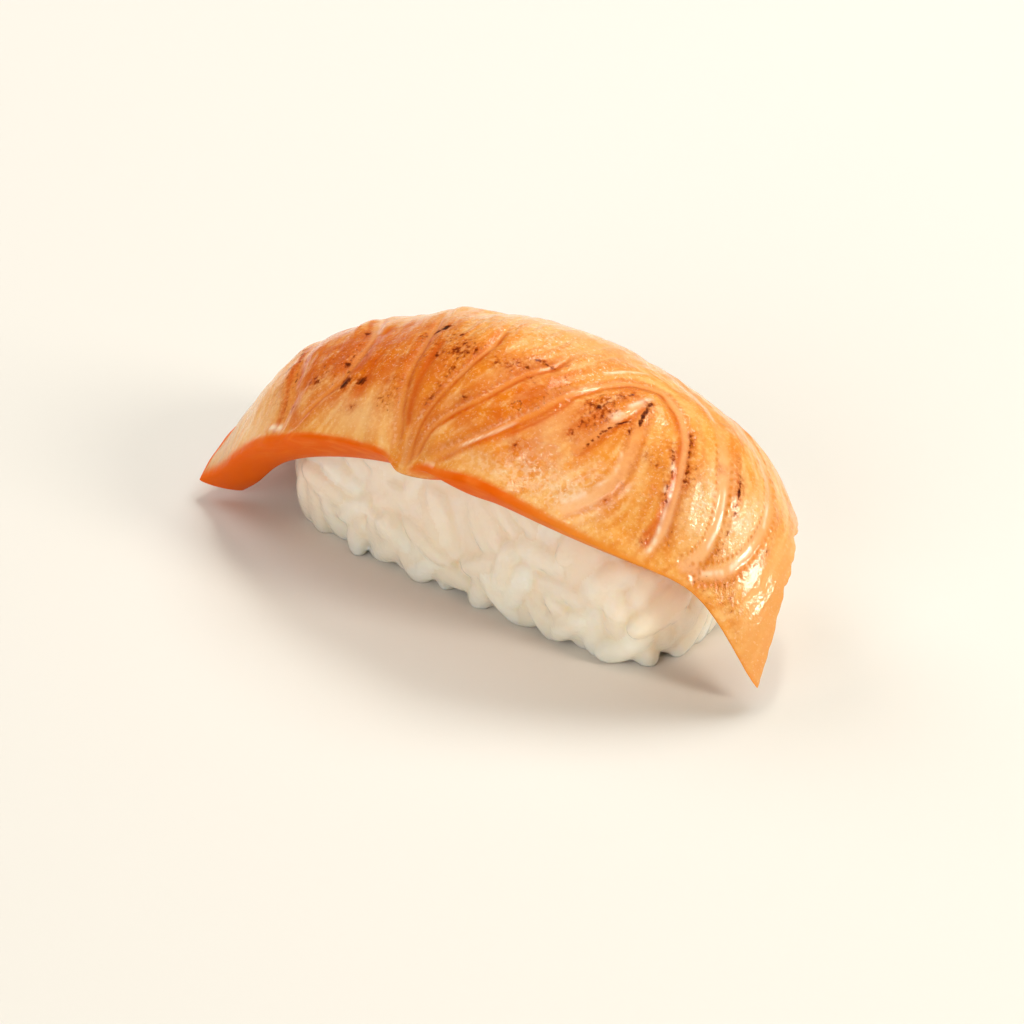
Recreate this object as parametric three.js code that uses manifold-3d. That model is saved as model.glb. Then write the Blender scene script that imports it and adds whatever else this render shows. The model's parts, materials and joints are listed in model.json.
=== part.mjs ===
// Torched salmon nigiri: a slice of salmon draped over a hand-pressed mound of rice.
// Millimetres, +Z up. The origin is the centre of the rice's flat base, X runs along the slice,
// and -Y is the side that the photograph shows.

import * as THREE from 'three';
import { mergeVertices } from 'three/addons/utils/BufferGeometryUtils.js';
import Module from 'manifold-3d';

const wasm = await Module();
wasm.setup();

// Sizes of the salmon slice.
// It is described by ten stations from its left tail to its right tail. Each station gives the crest's
// place along X, the middle and the half width across Y, the crest's height, how far the front and the
// back edge hang below the crest, and the slice's thickness.
const STATION_COLUMNS = ['x', 'middle', 'half', 'crest', 'frontDrop', 'backDrop', 'thick'];
const STATIONS = [
  [-36.0, -4.5, 8.5, 5.5, 3.5, 3.5, 4.2],
  [-32.0, -3.5, 10.0, 11.0, 6.0, 5.0, 4.2],
  [-26.0, -3.0, 12.0, 17.5, 7.0, 6.5, 4.2],
  [-14.5, -2.0, 14.5, 23.0, 6.5, 7.5, 4.4],
  [-3.0, -2.0, 15.0, 27.0, 8.5, 8.5, 4.4],
  [7.5, -1.5, 15.5, 26.5, 7.5, 9.5, 4.4],
  [20.5, 0.0, 13.0, 23.5, 9.0, 11.0, 4.0],
  [27.5, 1.0, 10.0, 18.5, 7.5, 10.0, 3.5],
  [32.5, 1.0, 9.0, 11.0, 6.0, 8.5, 2.8],
  [34.0, 1.0, 8.0, 6.5, 4.5, 7.0, 2.0],
];
const LAST_STATION = STATIONS.length - 1;
const STATION_SKEW = -1.2; // the slice was cut on the bias, so its back edge lies a little to the left
const CROWN_POWER = 2.1; // the cross section drops from the crest by this power of the half width
const RIGHT_END_TRIM = 1.9; // the right end is cut off slantwise, by this many stations at the back
const LEFT_END_BEVEL = 0.055; // the left end slants in below, by this part of the slice's length
const UNDERCUT_START = 5.5; // from this station on the cut edge slants in under the slice
const UNDERCUT = 1.2; // and the underside is narrower by this much on each side
const RIM_BULGE = 0.4; // the cut edges swell out by this much between top and underside
const FEATHER_SPAN = 0.18; // the right tail thins out over this part of the slice's length
const FEATHER_SHARE = 0.3; // to this part of its thickness
const BACK_CORNER_ROUND = 0.35; // the right end's back corner is rounded off by this many stations
// Where the creases meet at the front, the edge sags in a rounded fold: its place along the crest line,
// its half width and how far it hangs down.
const FOLD_PLACE = 40.4;
const FOLD_HALF_WIDTH = 1.9;
const FOLD_DROP = 1.15;

// The slice's top skin has creases where lines of fat run through the flesh. They are laid out on the
// flat slice, before it is draped: first the distance along its crest line from the left tail, then the
// distance from the crest line, negative to the front.
const CREASE_DEPTH = 0.5;
const CREASE_HALF_WIDTH = 1.3;
const CREASE_LINES = [
  [[20, -14.5], [19.5, -10.5], [18, -7.5], [15.5, -1.5], [14, 5], [14, 13]],
  [[22, -14.5], [24, -11.5], [26, -9], [25.4, -2.5], [21, 6], [18, 16]],
  [[39, -16.5], [36.8, -12], [34.7, -5], [33.6, -1.5], [31, 6], [29, 16.5]],
  [[41, -17.5], [40.7, -12], [41.5, -9], [43, -2.6], [41.8, 3], [38, 17]],
  [[41.5, -17], [44, -11.6], [47.5, -6.9], [50.3, -1.3], [50, 6], [45, 17.5]],
  [[43, -17], [48.1, -13.3], [52.2, -8], [55, -2.3], [60, 2.4], [64.2, -0.2], [67.9, -7.5], [67.1, -15.6]],
  [[57.4, -10], [58.4, -7.4], [60.4, -0.8], [61.7, -4.4], [62.2, -10.5], [58.5, -16]],
  [[70.6, -13.4], [73.1, -8.5], [72.3, -4], [69, 0.6], [62.5, 6], [54, 10.5], [47, 18]],
  [[71.5, -13], [76.2, -8.2], [78.1, -3], [76.2, 1.6], [68.5, 7], [60, 11.5], [53, 18]],
];

// Number of facets of the slice.
const STEPS_ALONG = 76;
const STEPS_ACROSS_TOP = 26;
const STEPS_ACROSS_UNDER = 6;

// Sizes of the rice.
// The mound is a rounded block that stands on a flat base and swells a little above it.
const RICE_LENGTH = 51;
const RICE_WIDTH = 24.6;
const RICE_END_FLARE = 1.7; // the base is shorter than the swell by this much at each end
const RICE_SIDE_FLARE = 1.2; // and narrower by this much on each side
const RICE_SWELL_HEIGHT = 7; // the mound is widest from this height on
const RICE_LEAN = 1.7; // its upper part draws in by this much all round
const RICE_LEAN_START = 5; // it begins to draw in at this height
const RICE_SHOULDER = 17; // and has drawn in fully at this one
const RICE_BLOCK_TOP = 26; // height of the block before the slice's underside shapes its top
const RICE_CORNER_POWER = 6; // squareness of its outline seen from above
const CORE_INSET = 1.5; // the core is smaller than the mound by half a grain
const GAP = 0.3; // clearance between rice and salmon

const GRAIN_LENGTH = 7.2;
const GRAIN_WIDTH = 3.1;
const GRAIN_THICKNESS = 2.7;
const GRAIN_SPREAD = 0.12; // grains differ in size by up to this part
const GRAIN_COUNT = 130;
const GRAIN_SIDES = 5;
const GRAIN_SEED = 11;

// A natural cubic spline through equally spaced values, as a function of the place between them.
function naturalSpline(values) {
  const last = values.length - 1;
  const bend = new Array(last + 1).fill(0);
  const carry = new Array(last + 1).fill(0);
  for (let i = 1; i < last; i += 1) {
    const pivot = 4 - carry[i - 1];
    carry[i] = 1 / pivot;
    bend[i] = (6 * (values[i + 1] - 2 * values[i] + values[i - 1]) - bend[i - 1]) / pivot;
  }
  for (let i = last - 1; i > 0; i -= 1) {
    bend[i] -= carry[i] * bend[i + 1];
  }
  return (place) => {
    const i = Math.min(Math.max(Math.floor(place), 0), last - 1);
    const right = place - i;
    const left = 1 - right;
    const straight = left * values[i] + right * values[i + 1];
    const curve = (left ** 3 - left) * bend[i] + (right ** 3 - right) * bend[i + 1];
    return straight + curve / 6;
  };
}

const station = {};
STATION_COLUMNS.forEach((name, column) => {
  station[name] = naturalSpline(STATIONS.map((row) => row[column]));
});

// A point of the smooth top skin. place runs from 0 at the left tail to 9 at the right one,
// side from -1 at the front edge to 1 at the back edge.
function skinPoint(place, side) {
  const drop = side < 0 ? station.frontDrop(place) : station.backDrop(place);
  return new THREE.Vector3(
    station.x(place) + STATION_SKEW * side,
    station.middle(place) + station.half(place) * side,
    station.crest(place) - drop * Math.abs(side) ** CROWN_POWER,
  );
}

// The direction straight out of the top skin.
function skinNormal(place, side) {
  const step = 0.01;
  const along = skinPoint(place + step, side).sub(skinPoint(place - step, side));
  const across = skinPoint(place, side + step).sub(skinPoint(place, side - step));
  return along.cross(across).normalize();
}

// Distance along the crest line, from a table of short steps.
const CREST_STEPS = 180;
const crestLengths = [0];
for (let i = 1; i <= CREST_STEPS; i += 1) {
  const before = skinPoint(((i - 1) / CREST_STEPS) * LAST_STATION, 0);
  const here = skinPoint((i / CREST_STEPS) * LAST_STATION, 0);
  crestLengths.push(crestLengths[i - 1] + here.distanceTo(before));
}

function lengthAlong(place) {
  const step = (place / LAST_STATION) * CREST_STEPS;
  const i = Math.min(Math.floor(step), CREST_STEPS - 1);
  return crestLengths[i] + (step - i) * (crestLengths[i + 1] - crestLengths[i]);
}

// Distance from the crest line over the top skin, negative to the front.
function lengthAcross(place, side) {
  const steps = 12;
  let length = 0;
  for (let i = 0; i < steps; i += 1) {
    const from = skinPoint(place, (side * i) / steps);
    const to = skinPoint(place, (side * (i + 1)) / steps);
    length += to.distanceTo(from);
  }
  return Math.sign(side) * length;
}

// The creases as smooth curves on the flat slice.
const creases = CREASE_LINES.map((points) => {
  const curve = new THREE.SplineCurve(points.map(([u, w]) => new THREE.Vector2(u, w)));
  return curve.getPoints(48);
});

function distanceToCreases(flat) {
  let nearest = Infinity;
  for (const points of creases) {
    for (const point of points) {
      nearest = Math.min(nearest, point.distanceToSquared(flat));
    }
  }
  return Math.sqrt(nearest);
}

function creaseDepth(place, side) {
  const flat = new THREE.Vector2(lengthAlong(place), lengthAcross(place, side));
  const ratio = distanceToCreases(flat) / CREASE_HALF_WIDTH;
  return CREASE_DEPTH * Math.exp(-ratio * ratio);
}

// The place of a lengthwise fraction on the trimmed slice.
function trimmedPlace(fraction, side) {
  const slant = (RIGHT_END_TRIM * (side + 1)) / 2;
  const corner = BACK_CORNER_ROUND * THREE.MathUtils.smoothstep(side, 0.6, 1);
  return fraction * (LAST_STATION - slant - corner);
}

function topPoint(fraction, side) {
  const place = trimmedPlace(fraction, side);
  const normal = skinNormal(place, side);
  const point = skinPoint(place, side).addScaledVector(normal, -creaseDepth(place, side));
  const atFront = 1 - THREE.MathUtils.smoothstep(1 + side, 0.02, 0.16);
  const ratio = (lengthAlong(place) - FOLD_PLACE) / FOLD_HALF_WIDTH;
  const sag = FOLD_DROP * atFront * Math.exp(-ratio * ratio);
  return point.add(new THREE.Vector3(0, -0.5 * sag, -sag));
}

// A point of the underside, extra millimetres further from the top skin than the flesh is thick.
function underPoint(fraction, side, extra) {
  const edgePlace = trimmedPlace(fraction, side);
  const slant = THREE.MathUtils.smoothstep(edgePlace, UNDERCUT_START, LAST_STATION);
  const inner = side * (1 - (UNDERCUT * slant) / station.half(edgePlace));
  const place = trimmedPlace(LEFT_END_BEVEL + (1 - LEFT_END_BEVEL) * fraction, inner);
  const feather = THREE.MathUtils.smoothstep(1 - fraction, 0, FEATHER_SPAN);
  const thick = station.thick(place) * (FEATHER_SHARE + (1 - FEATHER_SHARE) * feather) + extra;
  return skinPoint(place, inner).addScaledVector(skinNormal(place, inner), -thick);
}

// The middle of a cut edge, swelling out a little.
function rimPoint(fraction, side) {
  const top = topPoint(fraction, side);
  const under = underPoint(fraction, side, 0);
  const outward = new THREE.Vector3(0, side, 0);
  return top.add(under).multiplyScalar(0.5).addScaledVector(outward, RIM_BULGE);
}

// A closed geometry from loops of points, all of one count, with two rows that face each other as end caps.
function geometryFromLoops(loops, upperCount, lowerCount) {
  const count = loops[0].length;
  const positions = loops.flat().flatMap((point) => [point.x, point.y, point.z]);
  const index = [];
  for (let i = 0; i + 1 < loops.length; i += 1) {
    for (let j = 0; j < count; j += 1) {
      const next = (j + 1) % count;
      const a = i * count + j;
      const b = i * count + next;
      index.push(a, a + count, b, b, a + count, b + count);
    }
  }
  for (const [ring, turned] of [[0, false], [loops.length - 1, true]]) {
    const loop = loops[ring];
    const cap = capTriangles(loop.length, upperCount, lowerCount);
    for (const [a, b, c] of cap) {
      const base = ring * count;
      index.push(base + a, base + (turned ? c : b), base + (turned ? b : c));
    }
  }
  const geometry = new THREE.BufferGeometry();
  geometry.setAttribute('position', new THREE.Float32BufferAttribute(positions, 3));
  geometry.setIndex(index);
  return geometry;
}

// The end cap of a loop whose first upperCount points run over the top, and whose lowerCount points
// run back underneath, with any rim points between them. It zips the two rows together.
function capTriangles(loopLength, upperCount, lowerCount) {
  const rims = (loopLength - upperCount - lowerCount) / 2;
  const lowerStart = upperCount + rims;
  const upper = Array.from({ length: upperCount }, (_, i) => i);
  const lower = Array.from({ length: lowerCount }, (_, i) => lowerStart + lowerCount - 1 - i);
  const triangles = [];
  let i = 0;
  let j = 0;
  while (i < upperCount - 1 || j < lowerCount - 1) {
    const upperShare = (i + 1) / (upperCount - 1);
    const lowerShare = (j + 1) / (lowerCount - 1);
    if (j === lowerCount - 1 || (i < upperCount - 1 && upperShare <= lowerShare)) {
      triangles.push([upper[i], upper[i + 1], lower[j]]);
      i += 1;
    } else {
      triangles.push([upper[i], lower[j + 1], lower[j]]);
      j += 1;
    }
  }
  if (rims === 1) {
    triangles.push([upper[upperCount - 1], upperCount, lower[lowerCount - 1]]);
    triangles.push([lower[0], loopLength - 1, upper[0]]);
  }
  return triangles;
}

// The solid of a closed geometry.
function solidOf(geometry) {
  const bare = geometry.clone();
  bare.deleteAttribute('normal');
  bare.deleteAttribute('uv');
  const merged = mergeVertices(bare, 1e-5);
  const mesh = new wasm.Mesh({
    numProp: 3,
    vertProperties: Float32Array.from(merged.attributes.position.array),
    triVerts: Uint32Array.from(merged.index.array),
  });
  return new wasm.Manifold(mesh);
}

// The geometry of a solid, with flat facets.
function geometryOf(solid) {
  const mesh = solid.getMesh();
  const geometry = new THREE.BufferGeometry();
  geometry.setAttribute('position', new THREE.Float32BufferAttribute(mesh.vertProperties, 3));
  geometry.setIndex(new THREE.Uint32BufferAttribute(mesh.triVerts, 1));
  geometry.computeVertexNormals();
  return geometry;
}

// The largest single body of a solid: loose scraps are dropped and sealed hollows are filled.
function largestBody(solid) {
  const bodies = solid.decompose();
  return bodies.reduce((best, body) => (body.volume() > best.volume() ? body : best));
}

// Everything below the plane that the nigiri rests on.
function spaceBelowBase() {
  const box = new THREE.BoxGeometry(120, 80, 20);
  box.translate(0, 0, -10);
  return solidOf(box);
}

// The slice: a slab with its draped top, its parallel underside and its swelling cut edges,
// flattened where its left tail lies on the plate.
function makeSlice() {
  const loops = [];
  for (let i = 0; i <= STEPS_ALONG; i += 1) {
    const fraction = i / STEPS_ALONG;
    const loop = [];
    for (let j = 0; j <= STEPS_ACROSS_TOP; j += 1) {
      loop.push(topPoint(fraction, (2 * j) / STEPS_ACROSS_TOP - 1));
    }
    loop.push(rimPoint(fraction, 1));
    for (let j = STEPS_ACROSS_UNDER; j >= 0; j -= 1) {
      loop.push(underPoint(fraction, (2 * j) / STEPS_ACROSS_UNDER - 1, 0));
    }
    loop.push(rimPoint(fraction, -1));
    loops.push(loop);
  }
  const slab = geometryFromLoops(loops, STEPS_ACROSS_TOP + 1, STEPS_ACROSS_UNDER + 1);
  return largestBody(solidOf(slab).subtract(spaceBelowBase()));
}

// The space that the slice keeps free: all that lies above its underside, less a small gap.
// It reaches a little past the slice's edges, so that no rice stands up beside the slice.
function spaceAboveUnderside() {
  const reach = 8;
  const ceiling = 60;
  const loops = [];
  for (let i = 0; i <= STEPS_ALONG; i += 1) {
    const fraction = i / STEPS_ALONG;
    const lower = [];
    for (let j = STEPS_ACROSS_UNDER; j >= 0; j -= 1) {
      lower.push(underPoint(fraction, (2 * j) / STEPS_ACROSS_UNDER - 1, GAP));
    }
    lower.unshift(lower[0].clone().add(new THREE.Vector3(0, reach, 0)));
    lower.push(lower[lower.length - 1].clone().add(new THREE.Vector3(0, -reach, 0)));
    const upper = lower.map((point) => new THREE.Vector3(point.x, point.y, ceiling)).reverse();
    loops.push([...upper, ...lower]);
  }
  const count = STEPS_ACROSS_UNDER + 3;
  return solidOf(geometryFromLoops(loops, count, count));
}

// A seeded random number from 0 to 1.
function randomFrom(seed) {
  let state = seed;
  return () => {
    state = (state * 1664525 + 1013904223) % 4294967296;
    return state / 4294967296;
  };
}

// A point of the mound's side at an angle round it, inset millimetres inside its outline.
function ricePoint(angle, height, inset) {
  const foot = 1 - THREE.MathUtils.smoothstep(height, -1, RICE_SWELL_HEIGHT);
  const shoulder = THREE.MathUtils.smoothstep(height, RICE_LEAN_START, RICE_SHOULDER);
  const halfLength = RICE_LENGTH / 2 - RICE_END_FLARE * foot - RICE_LEAN * shoulder - inset;
  const halfWidth = RICE_WIDTH / 2 - RICE_SIDE_FLARE * foot - RICE_LEAN * shoulder - inset;
  const power = 2 / RICE_CORNER_POWER;
  const cos = Math.cos(angle);
  const sin = Math.sin(angle);
  return new THREE.Vector3(
    halfLength * Math.sign(cos) * Math.abs(cos) ** power,
    halfWidth * Math.sign(sin) * Math.abs(sin) ** power,
    height,
  );
}

// Angles spaced evenly round the outline, from a table of its length.
const OUTLINE_STEPS = 360;
const outlineLengths = [0];
for (let i = 1; i <= OUTLINE_STEPS; i += 1) {
  const before = ricePoint((2 * Math.PI * (i - 1)) / OUTLINE_STEPS, RICE_SWELL_HEIGHT, 0);
  const here = ricePoint((2 * Math.PI * i) / OUTLINE_STEPS, RICE_SWELL_HEIGHT, 0);
  outlineLengths.push(outlineLengths[i - 1] + here.distanceTo(before));
}

function angleAtShare(share) {
  const wanted = share * outlineLengths[OUTLINE_STEPS];
  const i = outlineLengths.findIndex((length) => length > wanted) - 1;
  const part = (wanted - outlineLengths[i]) / (outlineLengths[i + 1] - outlineLengths[i]);
  return (2 * Math.PI * (i + part)) / OUTLINE_STEPS;
}

// The core: the mound without the outer half of its outermost grains.
function makeRiceCore() {
  const sides = 28;
  const heights = [0, 3, RICE_SWELL_HEIGHT, 12, RICE_SHOULDER, RICE_BLOCK_TOP];
  const levels = heights.length - 1;
  const positions = [0, 0, 0];
  for (const height of heights) {
    for (let k = 0; k < sides; k += 1) {
      positions.push(...ricePoint(angleAtShare(k / sides), height, CORE_INSET).toArray());
    }
  }
  positions.push(0, 0, RICE_BLOCK_TOP);
  const topCentre = positions.length / 3 - 1;
  const index = [];
  for (let k = 0; k < sides; k += 1) {
    const next = (k + 1) % sides;
    index.push(0, 1 + next, 1 + k);
    for (let level = 0; level < levels; level += 1) {
      const a = 1 + level * sides + k;
      const b = 1 + level * sides + next;
      index.push(a, b, a + sides, b, b + sides, a + sides);
    }
    index.push(1 + levels * sides + k, 1 + levels * sides + next, topCentre);
  }
  const geometry = new THREE.BufferGeometry();
  geometry.setAttribute('position', new THREE.Float32BufferAttribute(positions, 3));
  geometry.setIndex(index);
  return geometry;
}

// One cooked grain along X: blunt at both ends, a little flattened and slightly curved.
function makeGrain(random) {
  const scale = 1 + GRAIN_SPREAD * (2 * random() - 1);
  const rings = [[-0.74, 0.74], [0, 1], [0.74, 0.74]];
  const positions = [];
  const bow = 0.5 * (random() - 0.5);
  for (const [along, girth] of rings) {
    for (let k = 0; k < GRAIN_SIDES; k += 1) {
      const angle = (2 * Math.PI * k) / GRAIN_SIDES;
      positions.push((along * GRAIN_LENGTH) / 2);
      positions.push((girth * Math.cos(angle) * GRAIN_WIDTH) / 2 + bow * (1 - along * along));
      positions.push((girth * Math.sin(angle) * GRAIN_THICKNESS) / 2);
    }
  }
  const index = [];
  for (let ring = 0; ring + 1 < rings.length; ring += 1) {
    for (let k = 0; k < GRAIN_SIDES; k += 1) {
      const a = ring * GRAIN_SIDES + k;
      const b = ring * GRAIN_SIDES + ((k + 1) % GRAIN_SIDES);
      index.push(a, b, a + GRAIN_SIDES, b, b + GRAIN_SIDES, a + GRAIN_SIDES);
    }
  }
  const tip = rings.length * GRAIN_SIDES;
  positions.push(-GRAIN_LENGTH / 2, 0, 0, GRAIN_LENGTH / 2, 0, 0);
  for (let k = 0; k < GRAIN_SIDES; k += 1) {
    const next = (k + 1) % GRAIN_SIDES;
    const far = (rings.length - 1) * GRAIN_SIDES;
    index.push(tip, next, k, tip + 1, far + k, far + next);
  }
  const geometry = new THREE.BufferGeometry();
  geometry.setAttribute('position', new THREE.Float32BufferAttribute(positions, 3));
  geometry.setIndex(index);
  geometry.scale(scale, scale, scale);
  return geometry;
}

// A grain laid against the mound's side, with its long axis turned at random in the surface.
function placedGrain(number, random) {
  const golden = 0.6180339887;
  const angle = angleAtShare((number * golden) % 1);
  const height = 0.4 + 20 * ((number + 0.5) / GRAIN_COUNT);
  const inset = 0.9 + 0.7 * random();
  const centre = ricePoint(angle, height, inset);
  const step = 0.02;
  const round = ricePoint(angle + step, height, inset).sub(ricePoint(angle - step, height, inset)).normalize();
  const up = ricePoint(angle, height + 0.5, inset).sub(ricePoint(angle, height - 0.5, inset)).normalize();
  const out = round.clone().cross(up).normalize();
  const turn = Math.PI * random();
  const long = round.multiplyScalar(Math.cos(turn)).addScaledVector(up, Math.sin(turn));
  long.addScaledVector(out, 0.5 * (random() - 0.5)).normalize();
  const wide = out.clone().cross(long).normalize();
  const thick = long.clone().cross(wide);
  const place = new THREE.Matrix4().makeBasis(long, wide, thick).setPosition(centre);
  return makeGrain(random).applyMatrix4(place);
}

// The rice: the core with its outer grains fused on, cut flat below and hollowed above to the slice.
function makeRice() {
  const random = randomFrom(GRAIN_SEED);
  let mound = solidOf(makeRiceCore());
  for (let number = 0; number < GRAIN_COUNT; number += 1) {
    mound = mound.add(solidOf(placedGrain(number, random)));
  }
  return largestBody(mound.subtract(spaceAboveUnderside()).subtract(spaceBelowBase()));
}

const salmonMaterial = new THREE.MeshStandardMaterial({ color: 0xe79a55, roughness: 0.35, metalness: 0 });
const riceMaterial = new THREE.MeshStandardMaterial({ color: 0xe9dcc6, roughness: 0.5, metalness: 0 });

const salmonSlice = new THREE.Mesh(geometryOf(makeSlice()), salmonMaterial);
salmonSlice.name = 'salmon_slice';

const riceMound = new THREE.Mesh(geometryOf(makeRice()), riceMaterial);
riceMound.name = 'rice_mound';

const nigiri = new THREE.Group();
nigiri.name = 'torched_salmon_nigiri';
nigiri.add(salmonSlice, riceMound);

export default nigiri;
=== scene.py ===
"""A torched salmon nigiri: a seared slice of salmon draped over a hand-pressed mound of rice.

Sizes are in millimetres and become metres where a mesh is made. X runs along the slice from its blunt
tail to its pointed one, Z is up, and the side that the camera sees is at negative Y.
"""

import json

import bmesh
import bpy
import numpy as np
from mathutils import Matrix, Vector
from mathutils.bvhtree import BVHTree

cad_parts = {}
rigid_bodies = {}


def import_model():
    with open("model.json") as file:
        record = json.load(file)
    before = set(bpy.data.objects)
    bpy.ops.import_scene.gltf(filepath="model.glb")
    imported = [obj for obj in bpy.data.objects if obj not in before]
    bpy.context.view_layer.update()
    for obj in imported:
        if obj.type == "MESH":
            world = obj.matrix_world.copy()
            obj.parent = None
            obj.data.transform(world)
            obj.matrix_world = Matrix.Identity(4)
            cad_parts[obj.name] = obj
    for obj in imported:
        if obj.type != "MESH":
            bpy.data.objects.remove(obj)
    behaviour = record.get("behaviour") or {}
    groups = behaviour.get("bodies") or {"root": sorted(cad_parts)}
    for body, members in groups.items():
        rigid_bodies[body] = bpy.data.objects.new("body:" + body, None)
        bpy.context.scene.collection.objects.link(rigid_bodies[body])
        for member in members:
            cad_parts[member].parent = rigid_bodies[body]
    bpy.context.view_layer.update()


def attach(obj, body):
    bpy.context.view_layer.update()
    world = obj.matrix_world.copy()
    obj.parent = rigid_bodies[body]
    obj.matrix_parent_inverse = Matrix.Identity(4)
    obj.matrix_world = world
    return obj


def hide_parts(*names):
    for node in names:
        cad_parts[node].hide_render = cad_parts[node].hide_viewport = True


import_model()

# Shape of the salmon slice. A cook cuts it on the bias from a skinned fillet and lays it over the
# rice, so it hangs down past both ends. It is given by ten stations from its left tail to its right
# one, and its surface is worked out from them.
MM = 0.001


def through(values):
    """A natural cubic spline through evenly spaced values, as a function of the place between them."""
    values = np.array(values, float)
    last = len(values) - 1
    system = 4 * np.eye(last + 1)
    system[0, 0] = system[last, last] = 1
    for i in range(1, last):
        system[i, i - 1] = system[i, i + 1] = 1
    right_hand = np.zeros(last + 1)
    right_hand[1:-1] = 6 * (values[2:] - 2 * values[1:-1] + values[:-2])
    bend = np.linalg.solve(system, right_hand)

    def at(place):
        i = np.clip(np.floor(place).astype(int), 0, last - 1)
        b = place - i
        a = 1 - b
        curve = (a**3 - a) * bend[i] + (b**3 - b) * bend[i + 1]
        return a * values[i] + b * values[i + 1] + curve / 6

    return at


crest_x = through([-36.0, -32.0, -26.0, -14.5, -3.0, 7.5, 20.5, 27.5, 32.5, 34.0])
crest_y = through([-4.5, -3.5, -3.0, -2.0, -2.0, -1.5, 0.0, 1.0, 1.0, 1.0])
crest_z = through([5.5, 11.0, 17.5, 23.0, 27.0, 26.5, 23.5, 18.5, 11.0, 6.5])
half_width = through([8.5, 10.0, 12.0, 14.5, 15.0, 15.5, 13.0, 10.0, 9.0, 8.0])
front_drop = through([3.5, 6.0, 7.0, 6.5, 8.5, 7.5, 9.0, 7.5, 6.0, 4.5])
back_drop = through([3.5, 5.0, 6.5, 7.5, 8.5, 9.5, 11.0, 10.0, 8.5, 7.0])
thickness = through([4.2, 4.2, 4.2, 4.4, 4.4, 4.4, 4.0, 3.5, 2.8, 2.0])
LAST_STATION = 9
BIAS = -1.2  # the back edge lies this much further left than the crest
CROWN_POWER = 2.1  # how squarely a cross section drops to its edges
RIGHT_END_TRIM = 1.9  # the right end is cut off slantwise, in stations
LEFT_END_BEVEL = 0.055  # the left end slants in below, as a share of the length
UNDERCUT_START = 5.5  # from this station on the cut edge slants in under the slice
UNDERCUT = 1.2
RIM_BULGE = 0.4  # how far the cut edges swell out
FEATHER_SPAN = 0.18  # share of the length over which the right tail thins out
FEATHER_EDGE = 0.3  # share of its thickness that is left at the end
RAGGED_END = 0.07  # how unevenly the right end is torn, in stations
RAGGED_START = 0.93  # share of the length from which the tear shows
TEARS = [(9, 0.6, 0.5), (23, 2, 0.32), (47, 0, 0.18)]  # waves of the torn end: rate, start and share
BACK_CORNER_ROUND = 0.35  # how much its back corner is rounded off, in stations


def ease(value, start, end):
    """0 before start, 1 after end, and smooth between them."""
    share = np.clip((value - start) / (end - start), 0, 1)
    return share * share * (3 - 2 * share)


def skin_point(place, side):
    """A point of the smooth top skin: place in stations, side from -1 in front to 1 behind."""
    drop = np.where(side < 0, front_drop(place), back_drop(place))
    x = crest_x(place) + BIAS * side
    y = crest_y(place) + half_width(place) * side
    z = crest_z(place) - drop * np.abs(side) ** CROWN_POWER
    return np.stack(np.broadcast_arrays(x, y, z), axis=-1)


def unit(vectors):
    """The same directions, each one long."""
    return vectors / np.linalg.norm(vectors, axis=-1, keepdims=True)


def skin_normal(place, side):
    """The direction straight out of the top skin."""
    step = 0.01
    along = skin_point(place + step, side) - skin_point(place - step, side)
    across = skin_point(place, side + step) - skin_point(place, side - step)
    return unit(np.cross(along, across))


def trimmed_place(fraction, side):
    """The place at a share of the slice's length, with its slanting and slightly torn right end."""
    torn = RAGGED_END * sum(share * np.sin(rate * side + start) for rate, start, share in TEARS)
    end = LAST_STATION - RIGHT_END_TRIM * (side + 1) / 2 + torn * ease(fraction, RAGGED_START, 1.0)
    end = end - BACK_CORNER_ROUND * ease(side, 0.6, 1.0)
    return fraction * end


def under_point(fraction, side, extra=0.0):
    """A point of the underside, or one extra millimetres below it."""
    edge_place = trimmed_place(fraction, side)
    slant = ease(edge_place, UNDERCUT_START, LAST_STATION)
    inner = side * (1 - UNDERCUT * slant / half_width(edge_place))
    place = trimmed_place(LEFT_END_BEVEL + (1 - LEFT_END_BEVEL) * fraction, inner)
    feather = ease(1 - fraction, 0, FEATHER_SPAN)
    thick = thickness(place) * (FEATHER_EDGE + (1 - FEATHER_EDGE) * feather) + extra
    return skin_point(place, inner) - skin_normal(place, inner) * thick[..., None]


# Markings of the salmon slice. Sheets of fat and gristle in the flesh show on its cut top as smooth
# cords in shallow seams, and the burner browned the flesh between them. Places on the flat slice are
# the distance along the crest from the left tail, and from the crest, which is negative to the front.
ROWS_ALONG = 400
ROWS_ACROSS = 156
ARC_STEPS = 12  # steps in which the way from the crest to a point is measured

fraction = np.linspace(0, 1, ROWS_ALONG + 1)[:, None] * np.ones((1, ROWS_ACROSS + 1))
side = np.linspace(-1, 1, ROWS_ACROSS + 1)[None, :] * np.ones((ROWS_ALONG + 1, 1))
place = trimmed_place(fraction, side)

crest_places = np.linspace(0, LAST_STATION, 721)
crest_steps = np.diff(skin_point(crest_places, 0 * crest_places), axis=0)
crest_lengths = np.concatenate([[0], np.cumsum(np.linalg.norm(crest_steps, axis=1))])
flat_u = np.interp(place, crest_places, crest_lengths)
flat_w = np.zeros_like(flat_u)
for step in range(ARC_STEPS):
    stride = skin_point(place, side * (step + 1) / ARC_STEPS) - skin_point(place, side * step / ARC_STEPS)
    flat_w += np.linalg.norm(stride, axis=-1)
flat_w *= np.sign(side)


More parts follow.
